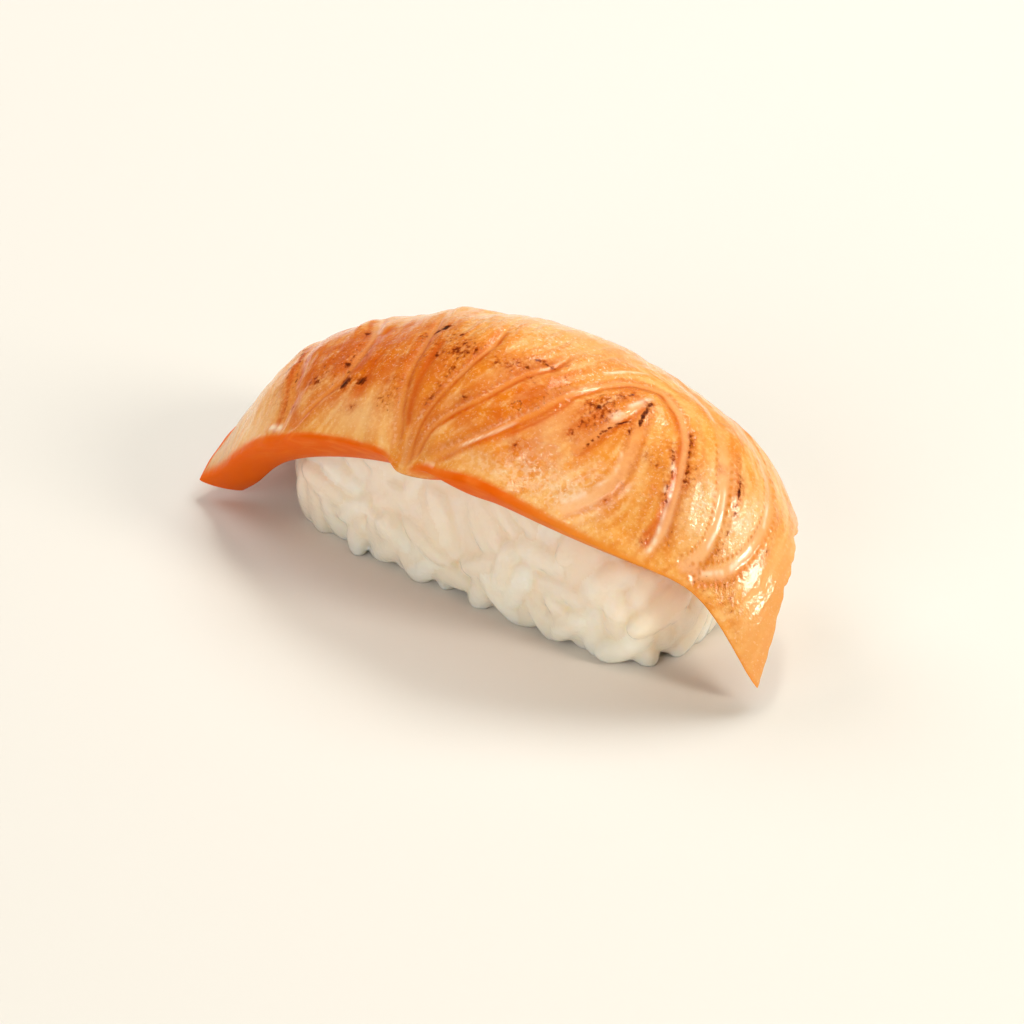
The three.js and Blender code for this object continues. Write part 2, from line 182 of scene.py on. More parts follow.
def smooth_line(points, pieces=10):
    """The points of a Catmull-Rom curve through some points of the flat slice."""
    knots = np.array([points[0], *points, points[-1]], float)
    found = []
    for a, b, c, d in zip(knots, knots[1:], knots[2:], knots[3:]):
        for t in np.linspace(0, 1, pieces, endpoint=False):
            bends = (2 * a - 5 * b + 4 * c - d) * t**2 + (3 * b - a - 3 * c + d) * t**3
            found.append((2 * b + (c - a) * t + bends) / 2)
    found.append(knots[-1])
    return np.array(found)


def beside(points, reach=4.0):
    """Distance to a smooth line, which side of it (1 to its left), and the share of its length."""
    line = smooth_line(points)
    nearest = np.full(flat_u.shape, 99.0)
    hand = np.ones(flat_u.shape)
    share = np.zeros(flat_u.shape)
    low = line.min(axis=0) - reach
    high = line.max(axis=0) + reach
    near = (flat_u > low[0]) & (flat_u < high[0]) & (flat_w > low[1]) & (flat_w < high[1])
    u, w = flat_u[near], flat_w[near]
    best, best_hand, best_share = nearest[near], hand[near], share[near]
    for i, (a, b) in enumerate(zip(line, line[1:])):
        run = b - a
        t = np.clip(((u - a[0]) * run[0] + (w - a[1]) * run[1]) / (run @ run), 0, 1)
        du, dw = u - a[0] - t * run[0], w - a[1] - t * run[1]
        away = np.hypot(du, dw)
        closer = away < best
        best = np.where(closer, away, best)
        best_hand = np.where(closer, np.where(run[0] * dw - run[1] * du > 0, 1.0, -1.0), best_hand)
        best_share = np.where(closer, (i + t) / (len(line) - 1), best_share)
    nearest[near], hand[near], share[near] = best, best_hand, best_share
    return nearest, hand, share


def swell(distance, width):
    """A soft bump: 1 where the distance is 0, and nearly gone two widths away."""
    return np.exp(-((distance / width) ** 2))


def soft_noise(u, w, size, seed):
    """Random unevenness from -1 to 1 whose bumps are about size millimetres across."""
    table = np.random.default_rng(seed).uniform(-1, 1, (256, 256))
    x, y = u / size, w / size
    i, j = np.floor(x).astype(int), np.floor(y).astype(int)
    a, b = ease(x - i, 0, 1), ease(y - j, 0, 1)
    low = table[i % 256, j % 256] * (1 - a) + table[(i + 1) % 256, j % 256] * a
    high = table[i % 256, (j + 1) % 256] * (1 - a) + table[(i + 1) % 256, (j + 1) % 256] * a
    return low * (1 - b) + high * b


# The seams and their cords: route, half width of the cord, how far it stands up in its seam, how pale
# it is at the route's start and end, how dark the furrows to its left and right are (the seam's darker
# flesh with painted shade on the side turned from the light), how much of it still shows behind the
# crest, how much it is edged with small blisters, and how strong the painted highlight along its left edge
# is.
SEAM_DEPTH = 0.3
SEAM_HALF_WIDTH = 0.8
FURROW_DEPTH = 0.05
BEAD_HEIGHT = 0.05
BEADS_A_POINT = 3.2  # how many small blisters edge a cord between two points of its route
CORDS = [
    ([(20, -14.5), (19.5, -10.5), (18, -7.5), (15.5, -1.5), (14, 5), (14, 13)],
     0.6, 0.04, -0.2, 0.0, 1.0, 0.9, 0.5, 0.0, 0.0),
    ([(22, -14.5), (24, -11.5), (26, -9), (26.1, -6), (25.4, -2.5), (23.5, 1), (21, 6), (18, 16)],
     0.45, 0.07, -0.6, 1.0, 0.3, 0.9, 0.9, 0.0, 0.8),
    ([(39, -16.5), (36.8, -12), (35.5, -8.5), (34.7, -5), (33.6, -1.5), (31, 6), (29, 16.5)],
     0.42, 0.06, -0.2, 0.4, 0.6, 1.0, 0.4, 0.6, 1.0),
    ([(41, -17.5), (40.4, -14.6), (40.7, -12), (41.5, -9), (42.4, -5.8), (43, -2.6), (41.8, 3),
      (38, 17)], 0.34, 0.05, -0.4, 0.1, 0.7, 1.1, 0.0, 0.6, 1.0),
    ([(41.5, -17), (42.1, -14.1), (44, -11.6), (46, -9.4), (47.5, -6.9), (48.7, -4.4), (50.3, -1.3),
      (50, 6), (45, 17.5)], 0.36, 0.05, -0.3, 0.0, 0.7, 1.1, 0.0, 0.6, 0.9),
    ([(43, -17), (45.7, -15.4), (48.1, -13.3), (50.3, -10.7), (52.2, -8), (53.3, -5.3), (55, -2.3),
      (57.3, 1), (60, 2.4), (62.3, 1.2), (64.2, -0.2), (66, -2.2), (67.2, -4.8), (67.9, -7.5),
      (68.2, -10.5), (67.8, -13), (67.1, -15.6)], 0.42, 0.10, -0.3, 0.9, 0.6, 1.0, 1.0, 0.6, 0.7),
    ([(58.5, -16), (60.6, -13.3), (62.2, -10.5), (62.5, -7.5), (61.7, -4.4), (60.4, -0.8)],
     0.6, 0.08, 1.0, 0.0, 0.2, 0.5, 1.0, 0.0, 0.3),
    ([(57.4, -10), (58.4, -7.4), (59.3, -4.2), (60.1, -0.6)],
     0.5, 0.14, -0.3, 1.0, 0.3, 0.6, 1.0, 0.2, 0.5),
    ([(70.6, -13.4), (72.3, -11), (73.1, -8.5), (73.1, -6.4), (72.3, -4), (70.9, -1.8), (69, 0.6),
      (66.5, 3), (62.5, 6), (54, 10.5), (47, 18)], 0.58, 0.13, 0.9, 0.3, 0.2, 0.4, 0.5, 1.0, 0.6),
    ([(71.5, -13), (74, -10.6), (76.2, -8.2), (77.6, -5.6), (78.1, -3), (77.7, -0.6), (76.2, 1.6),
      (73.5, 4), (68.5, 7), (60, 11.5), (53, 18)], 0.55, 0.13, 0.9, 0.4, 0.15, 0.4, 0.6, 1.0, 0.6),
]

cord, pale, furrow_and_painted_shade, beads, lit_edge, relief = np.zeros((6, *flat_u.shape))
nearest_seam = np.full(flat_u.shape, 99.0)
waver = 1.15 + 0.35 * soft_noise(flat_u, flat_w, 1.5, 31)
patchy = 0.75 + 0.35 * soft_noise(flat_u, flat_w, 1.1, 32)
for route, width, rise, pale_start, pale_end, dark_left, dark_right, behind, beaded, lit in CORDS:
    distance, hand, share = beside(route)
    fade = ease(share, 0, 0.06) * (1 - ease(share, 0.94, 1)) * (1 - (1 - behind) * ease(flat_w, -2.5, 2))
    body = (1 - ease(distance * waver, 0.5 * width, 1.4 * width)) * fade
    cord = np.maximum(cord, body)
    paleness = np.clip(pale_start + (pale_end - pale_start) * share, 0, 1)
    pale = np.maximum(pale, paleness * body)
    left_line = dark_left * swell(distance * hand - 1.3 * width, 0.26)
    right_line = dark_right * swell(distance * hand + 1.3 * width, 0.3)
    furrow_and_painted_shade = np.maximum(furrow_and_painted_shade, (left_line + right_line) * fade * patchy)
    lit_edge = np.maximum(lit_edge, lit * swell(distance * hand - 1.0 * width, 0.3) * fade * patchy)
    beaded_by = 0.5 + 0.5 * np.cos(2 * np.pi * share * len(route) * BEADS_A_POINT)
    beads = np.maximum(beads, beaded * swell(distance - 1.6 * width, 0.2) * fade * beaded_by * patchy)
    relief += rise * swell(distance, 0.7 * width) * fade
    nearest_seam = np.minimum(nearest_seam, distance + 0.9 * (1 - fade))
relief -= SEAM_DEPTH * swell(nearest_seam, SEAM_HALF_WIDTH)
relief -= FURROW_DEPTH * furrow_and_painted_shade
relief += BEAD_HEIGHT * beads

# The flesh's grain runs with the seams. Each piece of a seam turns it, the nearest one most.
twice_cos = np.zeros_like(flat_u)
twice_sin = np.zeros_like(flat_u)
for route, *_ in CORDS:
    for (u0, w0), (u1, w1) in zip(route, route[1:]):
        away = np.hypot(flat_u - (u0 + u1) / 2, flat_w - (w0 + w1) / 2)
        weight = np.hypot(u1 - u0, w1 - w0) / (away**2 + 1) ** 2
        turn = 2 * np.arctan2(w1 - w0, u1 - u0)
        twice_cos += weight * np.cos(turn)
        twice_sin += weight * np.sin(turn)
grain_turn = np.arctan2(twice_sin, twice_cos) / 2


def combed(size, reach, seed):
    """Unevenness from about -1 to 1, drawn out along the grain over reach millimetres each way."""
    steps = np.linspace(-reach, reach, 15)
    total = sum(
        soft_noise(flat_u + step * np.cos(grain_turn), flat_w + step * np.sin(grain_turn), size, seed)
        for step in steps
    )
    return np.clip(total / total.std() / 2.2, -1, 1)


# Dark lines without a cord of their own, darker flesh with painted shade in their grooves: route, half
# width and darkness.
DARK_LINE_DEPTH = 0.12
FURROWS = [
    ([(36.7, -3), (37.3, -7), (38.2, -11.5), (39.6, -15)], 0.6, 0.9),
    ([(26.4, 0.5), (26.8, -3), (27.4, -6), (28, -8.6)], 0.6, 0.8),
    ([(29.2, -5), (29.8, -8.5), (30.6, -12)], 0.7, 0.7),
    ([(20.2, -6), (20.6, -9.5), (21.6, -12.5), (23, -14.8)], 0.7, 0.6),
    ([(21.4, 3), (23, 0), (24.3, -2.5)], 0.35, 0.7),
    ([(50.4, -12), (52.4, -9.6), (53.9, -6.6), (54.4, -4.4)], 0.3, 0.8),
    ([(56.3, -1.6), (58.3, 0.5), (60.2, 1.4), (62, 0.4), (64, -1.2), (65.2, -3)], 0.3, 0.5),
    ([(66.6, -13.2), (67.4, -11), (67.4, -8.6)], 0.35, 0.8),
]
for route, width, darkness in FURROWS:
    distance, _, share = beside(route)
    fade = ease(share, 0, 0.15) * (1 - ease(share, 0.85, 1))
    line = darkness * swell(distance, width) * fade
    furrow_and_painted_shade = np.maximum(furrow_and_painted_shade, line)
    relief -= DARK_LINE_DEPTH * line

# Browned lines, where the flesh stands up at a seam and caught the flame: route, half width, and the
# strength at its start and end.
BROWNED_LINES = [
    ([(66, -1.2), (66.8, -2.6), (67.8, -4.8), (68.2, -6.1), (68.7, -8.1), (69, -11), (69.3, -14.6)],
     0.24, 1.15, 0.2),
    ([(65.2, -3.4), (66, -4.6), (66.7, -6.4), (67.1, -8.8)], 0.16, 1.1, 1.0),
    ([(66.6, -14), (67.2, -12.6)], 0.2, 0.6, 0.5),
    ([(70.6, 1), (72, -0.2), (72.9, -1.2), (73.6, -2.4)], 0.18, 0.4, 1.5),
    ([(73.8, -2.9), (74.4, -4.2), (74.6, -7), (73.6, -9.5), (72.6, -12)], 0.18, 0.9, 0.35),
    ([(76.9, 2.8), (79.1, -0.1), (79.6, -3.3), (78.1, -6.8), (76.4, -9.4), (74.4, -11), (72.6, -12.4)],
     0.2, 0.45, 0.6),
    ([(60.6, -0.6), (60.9, -1.9), (61.3, -3.5)], 0.3, 1.5, 1.6),
    ([(60.5, -3.9), (59.6, -4.8), (58.9, -6.3), (58.3, -8.2), (57.7, -9.8)], 0.17, 1.7, 1.0),
    ([(61, -4.4), (61.1, -5.6), (61.6, -6.6)], 0.16, 1.0, 0.6),
    ([(62.2, -6), (62.7, -7.4), (62.8, -9.4), (62.5, -11)], 0.22, 0.8, 0.5),
    ([(58.5, -0.6), (58.1, -1.6), (57.5, -2.8), (57.3, -3.8)], 0.24, 1.2, 1.1),
    ([(56.9, -5.6), (56.6, -6.9), (56.3, -8.4)], 0.22, 0.8, 0.9),
    ([(40.9, -6.4), (40.7, -8), (40.5, -9.6), (40.1, -11.8)], 0.26, 1.0, 0.8),
    ([(51, -1.4), (50, -2.3), (48.6, -2.6), (47.4, -3.2)], 0.24, 1.0, 0.9),
    ([(49.3, -5), (47, -4.4), (45, -5.3)], 0.26, 0.8, 0.8),
    ([(24.6, -3.4), (25.6, -6.4), (26.6, -8.6)], 0.35, 0.8, 1.0),
    ([(23, -0.6), (24.4, -2)], 0.35, 1.0, 0.8),
    ([(13.7, -0.5), (16.2, -4.3), (17.8, -7), (18.6, -9.4), (19.4, -11.6)], 0.4, 0.9, 0.85),
    ([(33.5, -9.3), (35.4, -9.3), (36, -9.6)], 0.2, 1.1, 1.0),
    ([(32.6, -1), (33.4, -3), (34, -4)], 0.32, 1.0, 0.7),
    ([(36, -1), (38, -3.6), (37, -6)], 0.4, 0.9, 0.6),
]
# Single burnt spots: place, radius and strength.
BURNT_SPOTS = [
    ((35.2, -1.3), 0.55, 2.2), ((34.5, -1.8), 0.4, 1.8), ((27.2, -9.6), 0.7, 2.2),
    ((26.7, -8.9), 0.4, 1.4), ((29.5, -9.5), 0.6, 1.9), ((25.4, -6.7), 0.5, 1.5),
    ((22.6, -8.6), 0.5, 1.2), ((21.9, -8.2), 0.35, 1.2), ((33.3, -2.8), 0.4, 1.3),
    ((26.9, -5.2), 0.35, 1.0), ((14.8, -4.5), 0.4, 1.0), ((23.5, -0.7), 0.45, 1.2),
    ((39.7, -4.9), 0.5, 1.4), ((39.9, -3.7), 0.4, 1.1), ((41.8, -4.4), 0.35, 1.1),
    ((38.5, -2.5), 0.35, 1.1), ((40.6, -7.3), 0.4, 1.3), ((37.6, -5.9), 0.4, 1.1),
    ((47, -4.1), 0.35, 1.2), ((48.1, -4), 0.35, 1.2), ((50.1, -2.3), 0.4, 1.3),
    ((44.2, -10), 0.35, 1.0), ((45.1, -5.1), 0.35, 1.0), ((46.3, -4.8), 0.3, 1.1),
    ((52, -12.3), 0.3, 1.0), ((57, -4.2), 0.55, 1.5), ((56.2, -4.4), 0.4, 1.3),
    ((56.6, -6.7), 0.35, 1.2), ((58.0, -1.6), 0.3, 1.3), ((56.3, -8.4), 0.3, 1.3),
    ((73.3, -1.8), 0.3, 1.7), ((72.8, -1.1), 0.25, 1.4), ((67, -3), 0.28, 1.4),
    ((67.9, -4.9), 0.25, 1.3), ((68.2, -5.9), 0.35, 1.4), ((65.5, -4), 0.22, 1.4),
    ((66.9, -7.4), 0.2, 1.5), ((67.4, -8.6), 0.2, 1.3), ((70.5, -1.7), 0.22, 1.1),
    ((63.7, -6.3), 0.25, 1.0), ((65, -6.4), 0.25, 1.0), ((78.1, -9.1), 0.3, 0.9),
    ((30.4, -12.8), 0.3, 1.0), ((66.8, -13.7), 0.25, 1.2), ((62.3, -12.2), 0.25, 0.9),
    ((17.5, -6.4), 0.4, 1.1), ((20.5, -11.3), 0.35, 1.1), ((19.5, -12.2), 0.3, 1.1),
]
# Wide patches where the flame left scattered specks: place, half length, half width, strength.
SPECKLED_PATCHES = [
    ((40, -4.9), 3.2, 2.2, 0.66), ((57.2, -4.6), 1.8, 2.6, 0.75), ((68.6, -4.8), 1.2, 2.4, 0.36),
    ((47, -4.6), 3.5, 1.4, 0.5), ((52, -5), 1.8, 4, 0.36), ((25, -6), 7, 5, 0.4),
    ((35, -11.5), 2.2, 2.0, 0.46), ((36, -4), 4, 3.4, 0.45), ((65, -6), 2.2, 1.4, 0.36),
    ((22, -8.4), 2.2, 1.5, 0.5), ((17, -6), 2, 4.5, 0.42), ((73, -12), 2.4, 1.0, 0.45),
    ((77.6, -10.2), 3.0, 0.8, 0.35),
]
# One blister burst and left a dark ring: place, radius, half width and strength.
RING_SPOT = ((50.0, -8.6), 0.5, 0.17, 1.05)

scorch, stain = np.zeros((2, *flat_u.shape))  # what is burnt, and the browner flesh round it
flicker = 0.85 + 0.45 * soft_noise(flat_u, flat_w, 0.6, 34)
for route, width, strength_start, strength_end in BROWNED_LINES:
    distance, _, share = beside(route)
    strength = strength_start + (strength_end - strength_start) * share
    strength = np.where(strength > 1.3, strength, strength * flicker)
    scorch = np.maximum(scorch, strength * swell(distance, width))
    stain = np.maximum(stain, 0.8 * np.minimum(strength, 1.2) * swell(distance, 2 * width + 0.25))
for (u, w), radius, strength in BURNT_SPOTS:
    away = np.hypot(flat_u - u, flat_w - w)
    scorch = np.maximum(scorch, strength * swell(away, radius))
    stain = np.maximum(stain, 0.85 * np.minimum(strength, 1.2) * swell(away, 1.8 * radius + 0.2))
for (u, w), long_half, short_half, strength in SPECKLED_PATCHES:
    patch = swell(np.hypot((flat_u - u) / long_half, (flat_w - w) / short_half), 1)
    scorch = np.maximum(scorch, strength * patch)
    stain = np.maximum(stain, 1.1 * strength * patch)
(u, w), radius, width, strength = RING_SPOT
scorch = np.maximum(scorch, strength * swell(np.hypot(flat_u - u, flat_w - w) - radius, width))
scorch *= 1 - 0.4 * cord * (scorch < 1)
stain = np.clip(stain, 0, 1) * (1 - 0.5 * cord)


# Where fat ran out of the seams it set as a thin glossy line; the same pale lines also paint highlights
# where glints fall on the flesh: route, half width and strength.
FAT_HEIGHT = 0.06
SET_FAT_AND_PAINTED_GLINTS = [
    ([(60.6, 0.4), (59.7, -1), (59.2, -2.4)], 0.24, 1.0),
    ([(59.2, -3.2), (58.7, -4.8)], 0.42, 0.95),
    ([(54.4, 0), (55.6, 1.8), (57.3, 4.5)], 0.16, 0.9),
    ([(67.4, -7.3), (67.7, -9.9), (67.8, -12.7), (67.5, -14.6)], 0.2, 0.8),
    ([(66.2, -4.8), (66.6, -5.9)], 0.2, 0.95),
    ([(66.8, -7.4), (66.9, -8.2)], 0.16, 0.9),
    ([(51.1, -9.8), (48.9, -12.6), (46.3, -15.1)], 0.13, 0.7),
    ([(71.8, -2.6), (72.9, -4.6), (73.3, -6.4), (73.1, -9)], 0.18, 0.95),
    ([(76, 1.5), (77.9, -1.1)], 0.2, 0.6),
    ([(78, -3.4), (77.6, -5.2), (76.5, -7.7)], 0.3, 0.95),
    ([(76.2, -8.2), (74.6, -9.9), (73, -11.4)], 0.2, 0.7),
    ([(18, -13), (20.4, -13.6)], 0.36, 0.9),
    ([(16.8, -13.3), (14.9, -13.9)], 0.2, 0.5),
    ([(43.3, -17.4), (44.7, -17.3)], 0.22, 0.85),
    ([(60.4, -12.6), (58.5, -15)], 0.3, 0.5),
    ([(24.2, 2), (25.6, -1.3)], 0.24, 0.6),
    ([(61.4, -7), (61.9, -9.4), (60.8, -11.8)], 0.18, 0.5),
]
fat_and_painted_glints = np.zeros_like(flat_u)
broken = np.clip(0.75 + 0.5 * soft_noise(flat_u, flat_w, 0.6, 33), 0, 1)
for route, width, strength in SET_FAT_AND_PAINTED_GLINTS:
    distance, _, share = beside(route)
    fade = ease(share, 0, 0.15) * (1 - ease(share, 0.85, 1))
    line = strength * swell(distance, width) * fade
    fat_and_painted_glints = np.maximum(fat_and_painted_glints, line * broken)
    relief += FAT_HEIGHT * line


def patches(table):
    """A soft map from patches: place, half length, half width and strength of each."""
    total = np.zeros_like(flat_u)
    for (u, w), long_half, short_half, strength in table:
        total += strength * swell(np.hypot((flat_u - u) / long_half, (flat_w - w) / short_half), 1)
    return np.clip(total, 0, 1)


# How deeply the flame coloured the flesh, where it only turned it whitish, where it drew small
# blisters, and where white of the flesh curdled on it.
sear = patches([
    ((22, -4.5), 6, 5.5, 0.85), ((29, -6), 5, 5.5, 0.8), ((36, -6.5), 5, 5, 0.6),
    ((17.5, -3), 3.4, 4, 0.6), ((25, -12), 5, 2.4, 0.5), ((43, -9), 5, 6, 0.38),
    ((57.5, -6), 3.2, 4.5, 0.6), ((41.5, -14.5), 2.6, 3, 0.4), ((50, -7), 4, 5, 0.8),
    ((20, 1.5), 3, 3.4, 0.6), ((30, 0), 4, 3, 0.4), ((47, -12), 4, 3, 0.4),
    ((54, -11.5), 3, 3, 0.5), ((66, -9), 2.4, 3.4, 0.25), ((21.5, -13.5), 3, 1.2, 0.5),
])
milky = patches([
    ((9, -6.5), 5.5, 4.5, 0.6), ((3, -5), 4, 4, 0.35), ((29, 4), 4.5, 2.6, 0.65),
    ((42, 4), 6, 2.6, 0.7), ((50, 6), 6, 4, 0.45), ((62, 8), 9, 4, 0.3),
    ((60, -14), 2.4, 2, 0.5), ((14.5, -10), 4, 2.5, 0.45), ((71.2, -5.5), 2.1, 5, 1.0),
    ((76, -3.5), 2.1, 5, 1.0), ((81, -1), 2.6, 5, 0.4), ((34, -14.5), 4.5, 2.2, 0.6),
    ((30, -13), 4, 2.2, 0.5), ((49, -15.6), 5, 1.0, 0.4), ((23, 3.4), 1.6, 2.6, 0.5),
    ((15.5, -12.5), 3, 2, 0.6), ((54.6, -9.5), 2.4, 2.8, 0.5), ((81, -7), 2.6, 3, 0.3),
])
blistered = patches([
    ((70.8, -5.5), 1.6, 4.5, 1.0), ((75.9, -3.5), 1.4, 5, 0.9), ((45, 1.5), 8, 3, 0.7),
    ((54.5, 0.5), 5, 3, 0.7), ((58.6, -3), 1.6, 3, 0.7), ((64.5, -3.5), 2.2, 4, 0.5),
    ((58, -13.5), 4, 2.5, 0.6), ((76.5, -9.5), 3, 2, 0.4), ((33, -4), 12, 5, 0.35),
    ((66, -10), 2, 4, 0.3),
])
curdled = patches([
    ((55, -14), 3.2, 1.8, 0.8), ((59.5, -14), 2.6, 2.2, 0.9), ((46, 1.5), 6, 2.2, 0.6),
    ((70.8, -5.5), 1.5, 3.6, 1.0), ((75.6, -3), 1.2, 3.6, 0.8), ((60.5, -11), 1.6, 2, 0.4),
    ((50.5, -15.5), 4, 0.9, 0.5), ((37.5, 1.5), 4, 2, 0.4),
])
streaks = combed(0.5, 1.6, 21)
ripples = combed(1.3, 3.2, 22)

# Relief of the seared top: a few wide swells show at the crest, given by place, half length, half width
# and height. Over them lie soft lumps, ripples and streaks along the grain, and small blisters.
LUMP_HEIGHT = 0.14
RIPPLE_HEIGHT = 0.05
STREAK_HEIGHT = 0.08
BLISTER_HEIGHT = 0.07
SWELLS = [
    ((21.3, 4.7), 2.0, 4.5, 0.45), ((31.6, 5.0), 2.7, 5, 0.5), ((12.6, 0.5), 1.3, 2.4, 0.3),
    ((6.6, -3.3), 1.6, 2.4, 0.1), ((1.4, -3.6), 1.6, 3, -0.4), ((36.4, 6.3), 1.5, 3, -0.4),
    ((40.5, 7.5), 5, 5, -0.3), ((44.2, 9.5), 1.6, 3, -0.3), ((57, 11), 8, 5, 0.3), ((68, 10), 8, 4, 0.5),
]
for (u, w), long_half, short_half, height in SWELLS:
    relief += height * swell(np.hypot((flat_u - u) / long_half, (flat_w - w) / short_half), 1)
lumps = 0.6 * soft_noise(flat_u, flat_w, 3.2, 3) + 0.4 * soft_noise(flat_u, flat_w, 1.4, 7)
lumps *= (1 - 0.7 * cord) * (1 - 0.55 * ease(flat_u, 78.5, 81))
relief += LUMP_HEIGHT * lumps
relief += RIPPLE_HEIGHT * ripples * (1 - cord)
relief += STREAK_HEIGHT * streaks * (0.25 + blistered) * (1 - cord)
relief += BLISTER_HEIGHT * soft_noise(flat_u, flat_w, 0.8, 41) * blistered * (1 - cord)

# The skin of the slice. Its top is the draped surface with the relief added, its cut edge swells out in
# rows round it, and its underside has half as many rows as the top. Where the seams meet at the front,
# the edge sags in a rounded fold, and right of that it is thin in a notch and hangs in a low lap.
RIM_ROWS = 12
BOARD_CLEARANCE = 0.02  # the slice stays this far above the board
FOLD = (40.4, 1.9, 1.15)  # place, half width and how far it hangs down
LAP = (45.5, 3.0, 0.45)  # right of the fold the edge hangs a little: place, half width and how far
NOTCH = (43.2, 1.6, 2.0)  # between them the slice is thin: place, half width and by how much
FRONT_LIFT = (65.5, 8, 0.55)  # place, half width and height of a rise of the whole front edge

at_front = 1 - ease(1 + side, 0.02, 0.16)
lift = at_front * FRONT_LIFT[2] * swell(flat_u - FRONT_LIFT[0], FRONT_LIFT[1])
sag = FOLD[2] * swell(flat_u - FOLD[0], FOLD[1]) + LAP[2] * swell(flat_u - LAP[0], LAP[1])
sag *= at_front
under_lift = lift + at_front * NOTCH[2] * swell(flat_u - NOTCH[0], NOTCH[1])
under_lift -= at_front * LAP[2] * swell(flat_u - LAP[0], LAP[1])
top = skin_point(place, side) + skin_normal(place, side) * relief[..., None]
top[..., 2] += lift - sag
top[..., 1] -= 0.5 * sag


def border(grid):
    """The outermost entries of a grid in order round it, each one once."""
    return np.concatenate([grid[:-1, 0], grid[-1, :-1], grid[:0:-1, -1], grid[0, :0:-1]])


def inner_border(grid):
    """For each entry of the border, the entry next to it inside."""
    last_row, last_column = grid.shape[0] - 1, grid.shape[1] - 1
    rows, columns = np.meshgrid(np.arange(last_row + 1), np.arange(last_column + 1), indexing="ij")
    rows = np.clip(border(rows), 1, last_row - 1)
    columns = np.clip(border(columns), 1, last_column - 1)
    return grid[rows, columns]


top_edge = border(top)
under_edge = border(under_point(fraction, side))
under_edge[:, 2] += border(under_lift)
outward = unit(top_edge - inner_border(top))
rim_shares = [(1 - np.cos(np.pi * row / RIM_ROWS)) / 2 for row in range(1, RIM_ROWS)]
rim = []
for share in rim_shares:
    bulge = RIM_BULGE * np.sin(np.pi * share) ** 0.5
    rim.append(top_edge * (1 - share) + under_edge * share + outward * bulge)
under = under_point(fraction[::2, ::2], side[::2, ::2])
under[..., 2] += under_lift[::2, ::2]

# The cut is raw up to a line a little way in from the edge: how far, from the left tail to the right.
raw_margin = through([1.0, 1.0, 1.0, 0.5, 0.55, 0.8, 0.3, 0.1, 0.1, 0.1])
edge_w = flat_w[:, :1]
raw_softness = 0.3 + 0.5 * (1 - ease(flat_u, 8, 20))
from_margin = flat_w - edge_w - raw_margin(np.clip(place, 0, LAST_STATION))
raw = 1 - ease(from_margin / raw_softness, -1, 1)
raw *= 1 - swell(flat_u - FOLD[0], 0.9 * FOLD[1]) * (flat_w < -12)
raw = np.maximum(raw, 1 - ease(flat_u, 0.2, 0.9))

points = np.concatenate([top.reshape(-1, 3), *rim, under.reshape(-1, 3)])
points[:, 2] = np.maximum(points[:, 2], BOARD_CLEARANCE)


def grid_numbers(first, rows, columns):
    """The numbers of a grid's points, counted on from the first."""
    return first + np.arange(rows * columns).reshape(rows, columns)


def grid_faces(numbers, turned=False):
    """The four-sided faces between the points of a grid."""
    corners = [numbers[:-1, :-1], numbers[1:, :-1], numbers[1:, 1:], numbers[:-1, 1:]]
    faces = np.stack(corners, axis=-1).reshape(-1, 4)
    return (faces[:, ::-1] if turned else faces).tolist()


around = len(top_edge)
top_numbers = grid_numbers(0, *place.shape)
rim_numbers = grid_numbers(top_numbers.size, RIM_ROWS - 1, around)
under_numbers = grid_numbers(top_numbers.size + rim_numbers.size, *under.shape[:2])

faces = grid_faces(top_numbers) + grid_faces(under_numbers, turned=True)
rings = np.concatenate([border(top_numbers)[None, :], rim_numbers])
rings = np.concatenate([rings, rings[:, :1]], axis=1)
faces += grid_faces(rings)
outer = rings[-1]
inner = border(under_numbers)
inner = np.append(inner, inner[0])
for i in range(len(inner) - 1):
    a, b, c = outer[2 * i: 2 * i + 3].tolist()
    here, next_one = inner[i: i + 2].tolist()
    faces += [(b, a, here), (c, b, next_one), (next_one, b, here)]

salmon_mesh = bpy.data.meshes.new("seared_salmon")
salmon_mesh.from_pydata((points * MM).tolist(), [], faces)
salmon_mesh.validate()
salmon_mesh.shade_smooth()


def spread(values, on_rim, on_under):
    """A value for every point of the slice from its values on the top."""
    rim_values = np.tile(border(values), RIM_ROWS - 1) * on_rim
    return np.concatenate([values.ravel(), rim_values, values[::2, ::2].ravel() * on_under])


def mark(mesh, name, values):
    """Stores a value for each point of the mesh, for its finish to read."""
    attribute = mesh.attributes.new(name, "FLOAT", "POINT")
    attribute.data.foreach_set("value", np.asarray(values, np.float32))


rim_depth = np.repeat(rim_shares, around)
depth = np.concatenate([np.zeros(top_numbers.size), rim_depth, np.ones(under_numbers.size)])
for name, values in [("cord", cord), ("pale", pale)]:
    mark(salmon_mesh, name, spread(values, 0.3, 0.8))
top_marks = {
    "furrow_and_painted_shade": furrow_and_painted_shade, "scorch": scorch, "stain": stain, "beads": beads, "lit_edge": lit_edge,
    "fat_and_painted_glints": fat_and_painted_glints, "sear": sear, "milky": milky, "blistered": blistered, "curdled": curdled,
}
for name, values in top_marks.items():
    mark(salmon_mesh, name, spread(values, 0.0, 0.0))
for name, values in [("streaks", streaks), ("ripples", ripples)]:
    mark(salmon_mesh, name, spread(values, 0.4, 1.0))
raw = spread(raw, 1.0, 1.0)
rim_part = slice(top_numbers.size, top_numbers.size + rim_numbers.size)
raw[rim_part] = np.maximum(raw[rim_part], ease(rim_depth, 0.35, 0.7))
mark(salmon_mesh, "raw", raw)
mark(salmon_mesh, "depth", depth)
mark(salmon_mesh, "along", spread(flat_u, 1.0, 1.0))
mark(salmon_mesh, "across", spread(flat_w, 1.0, 1.0))


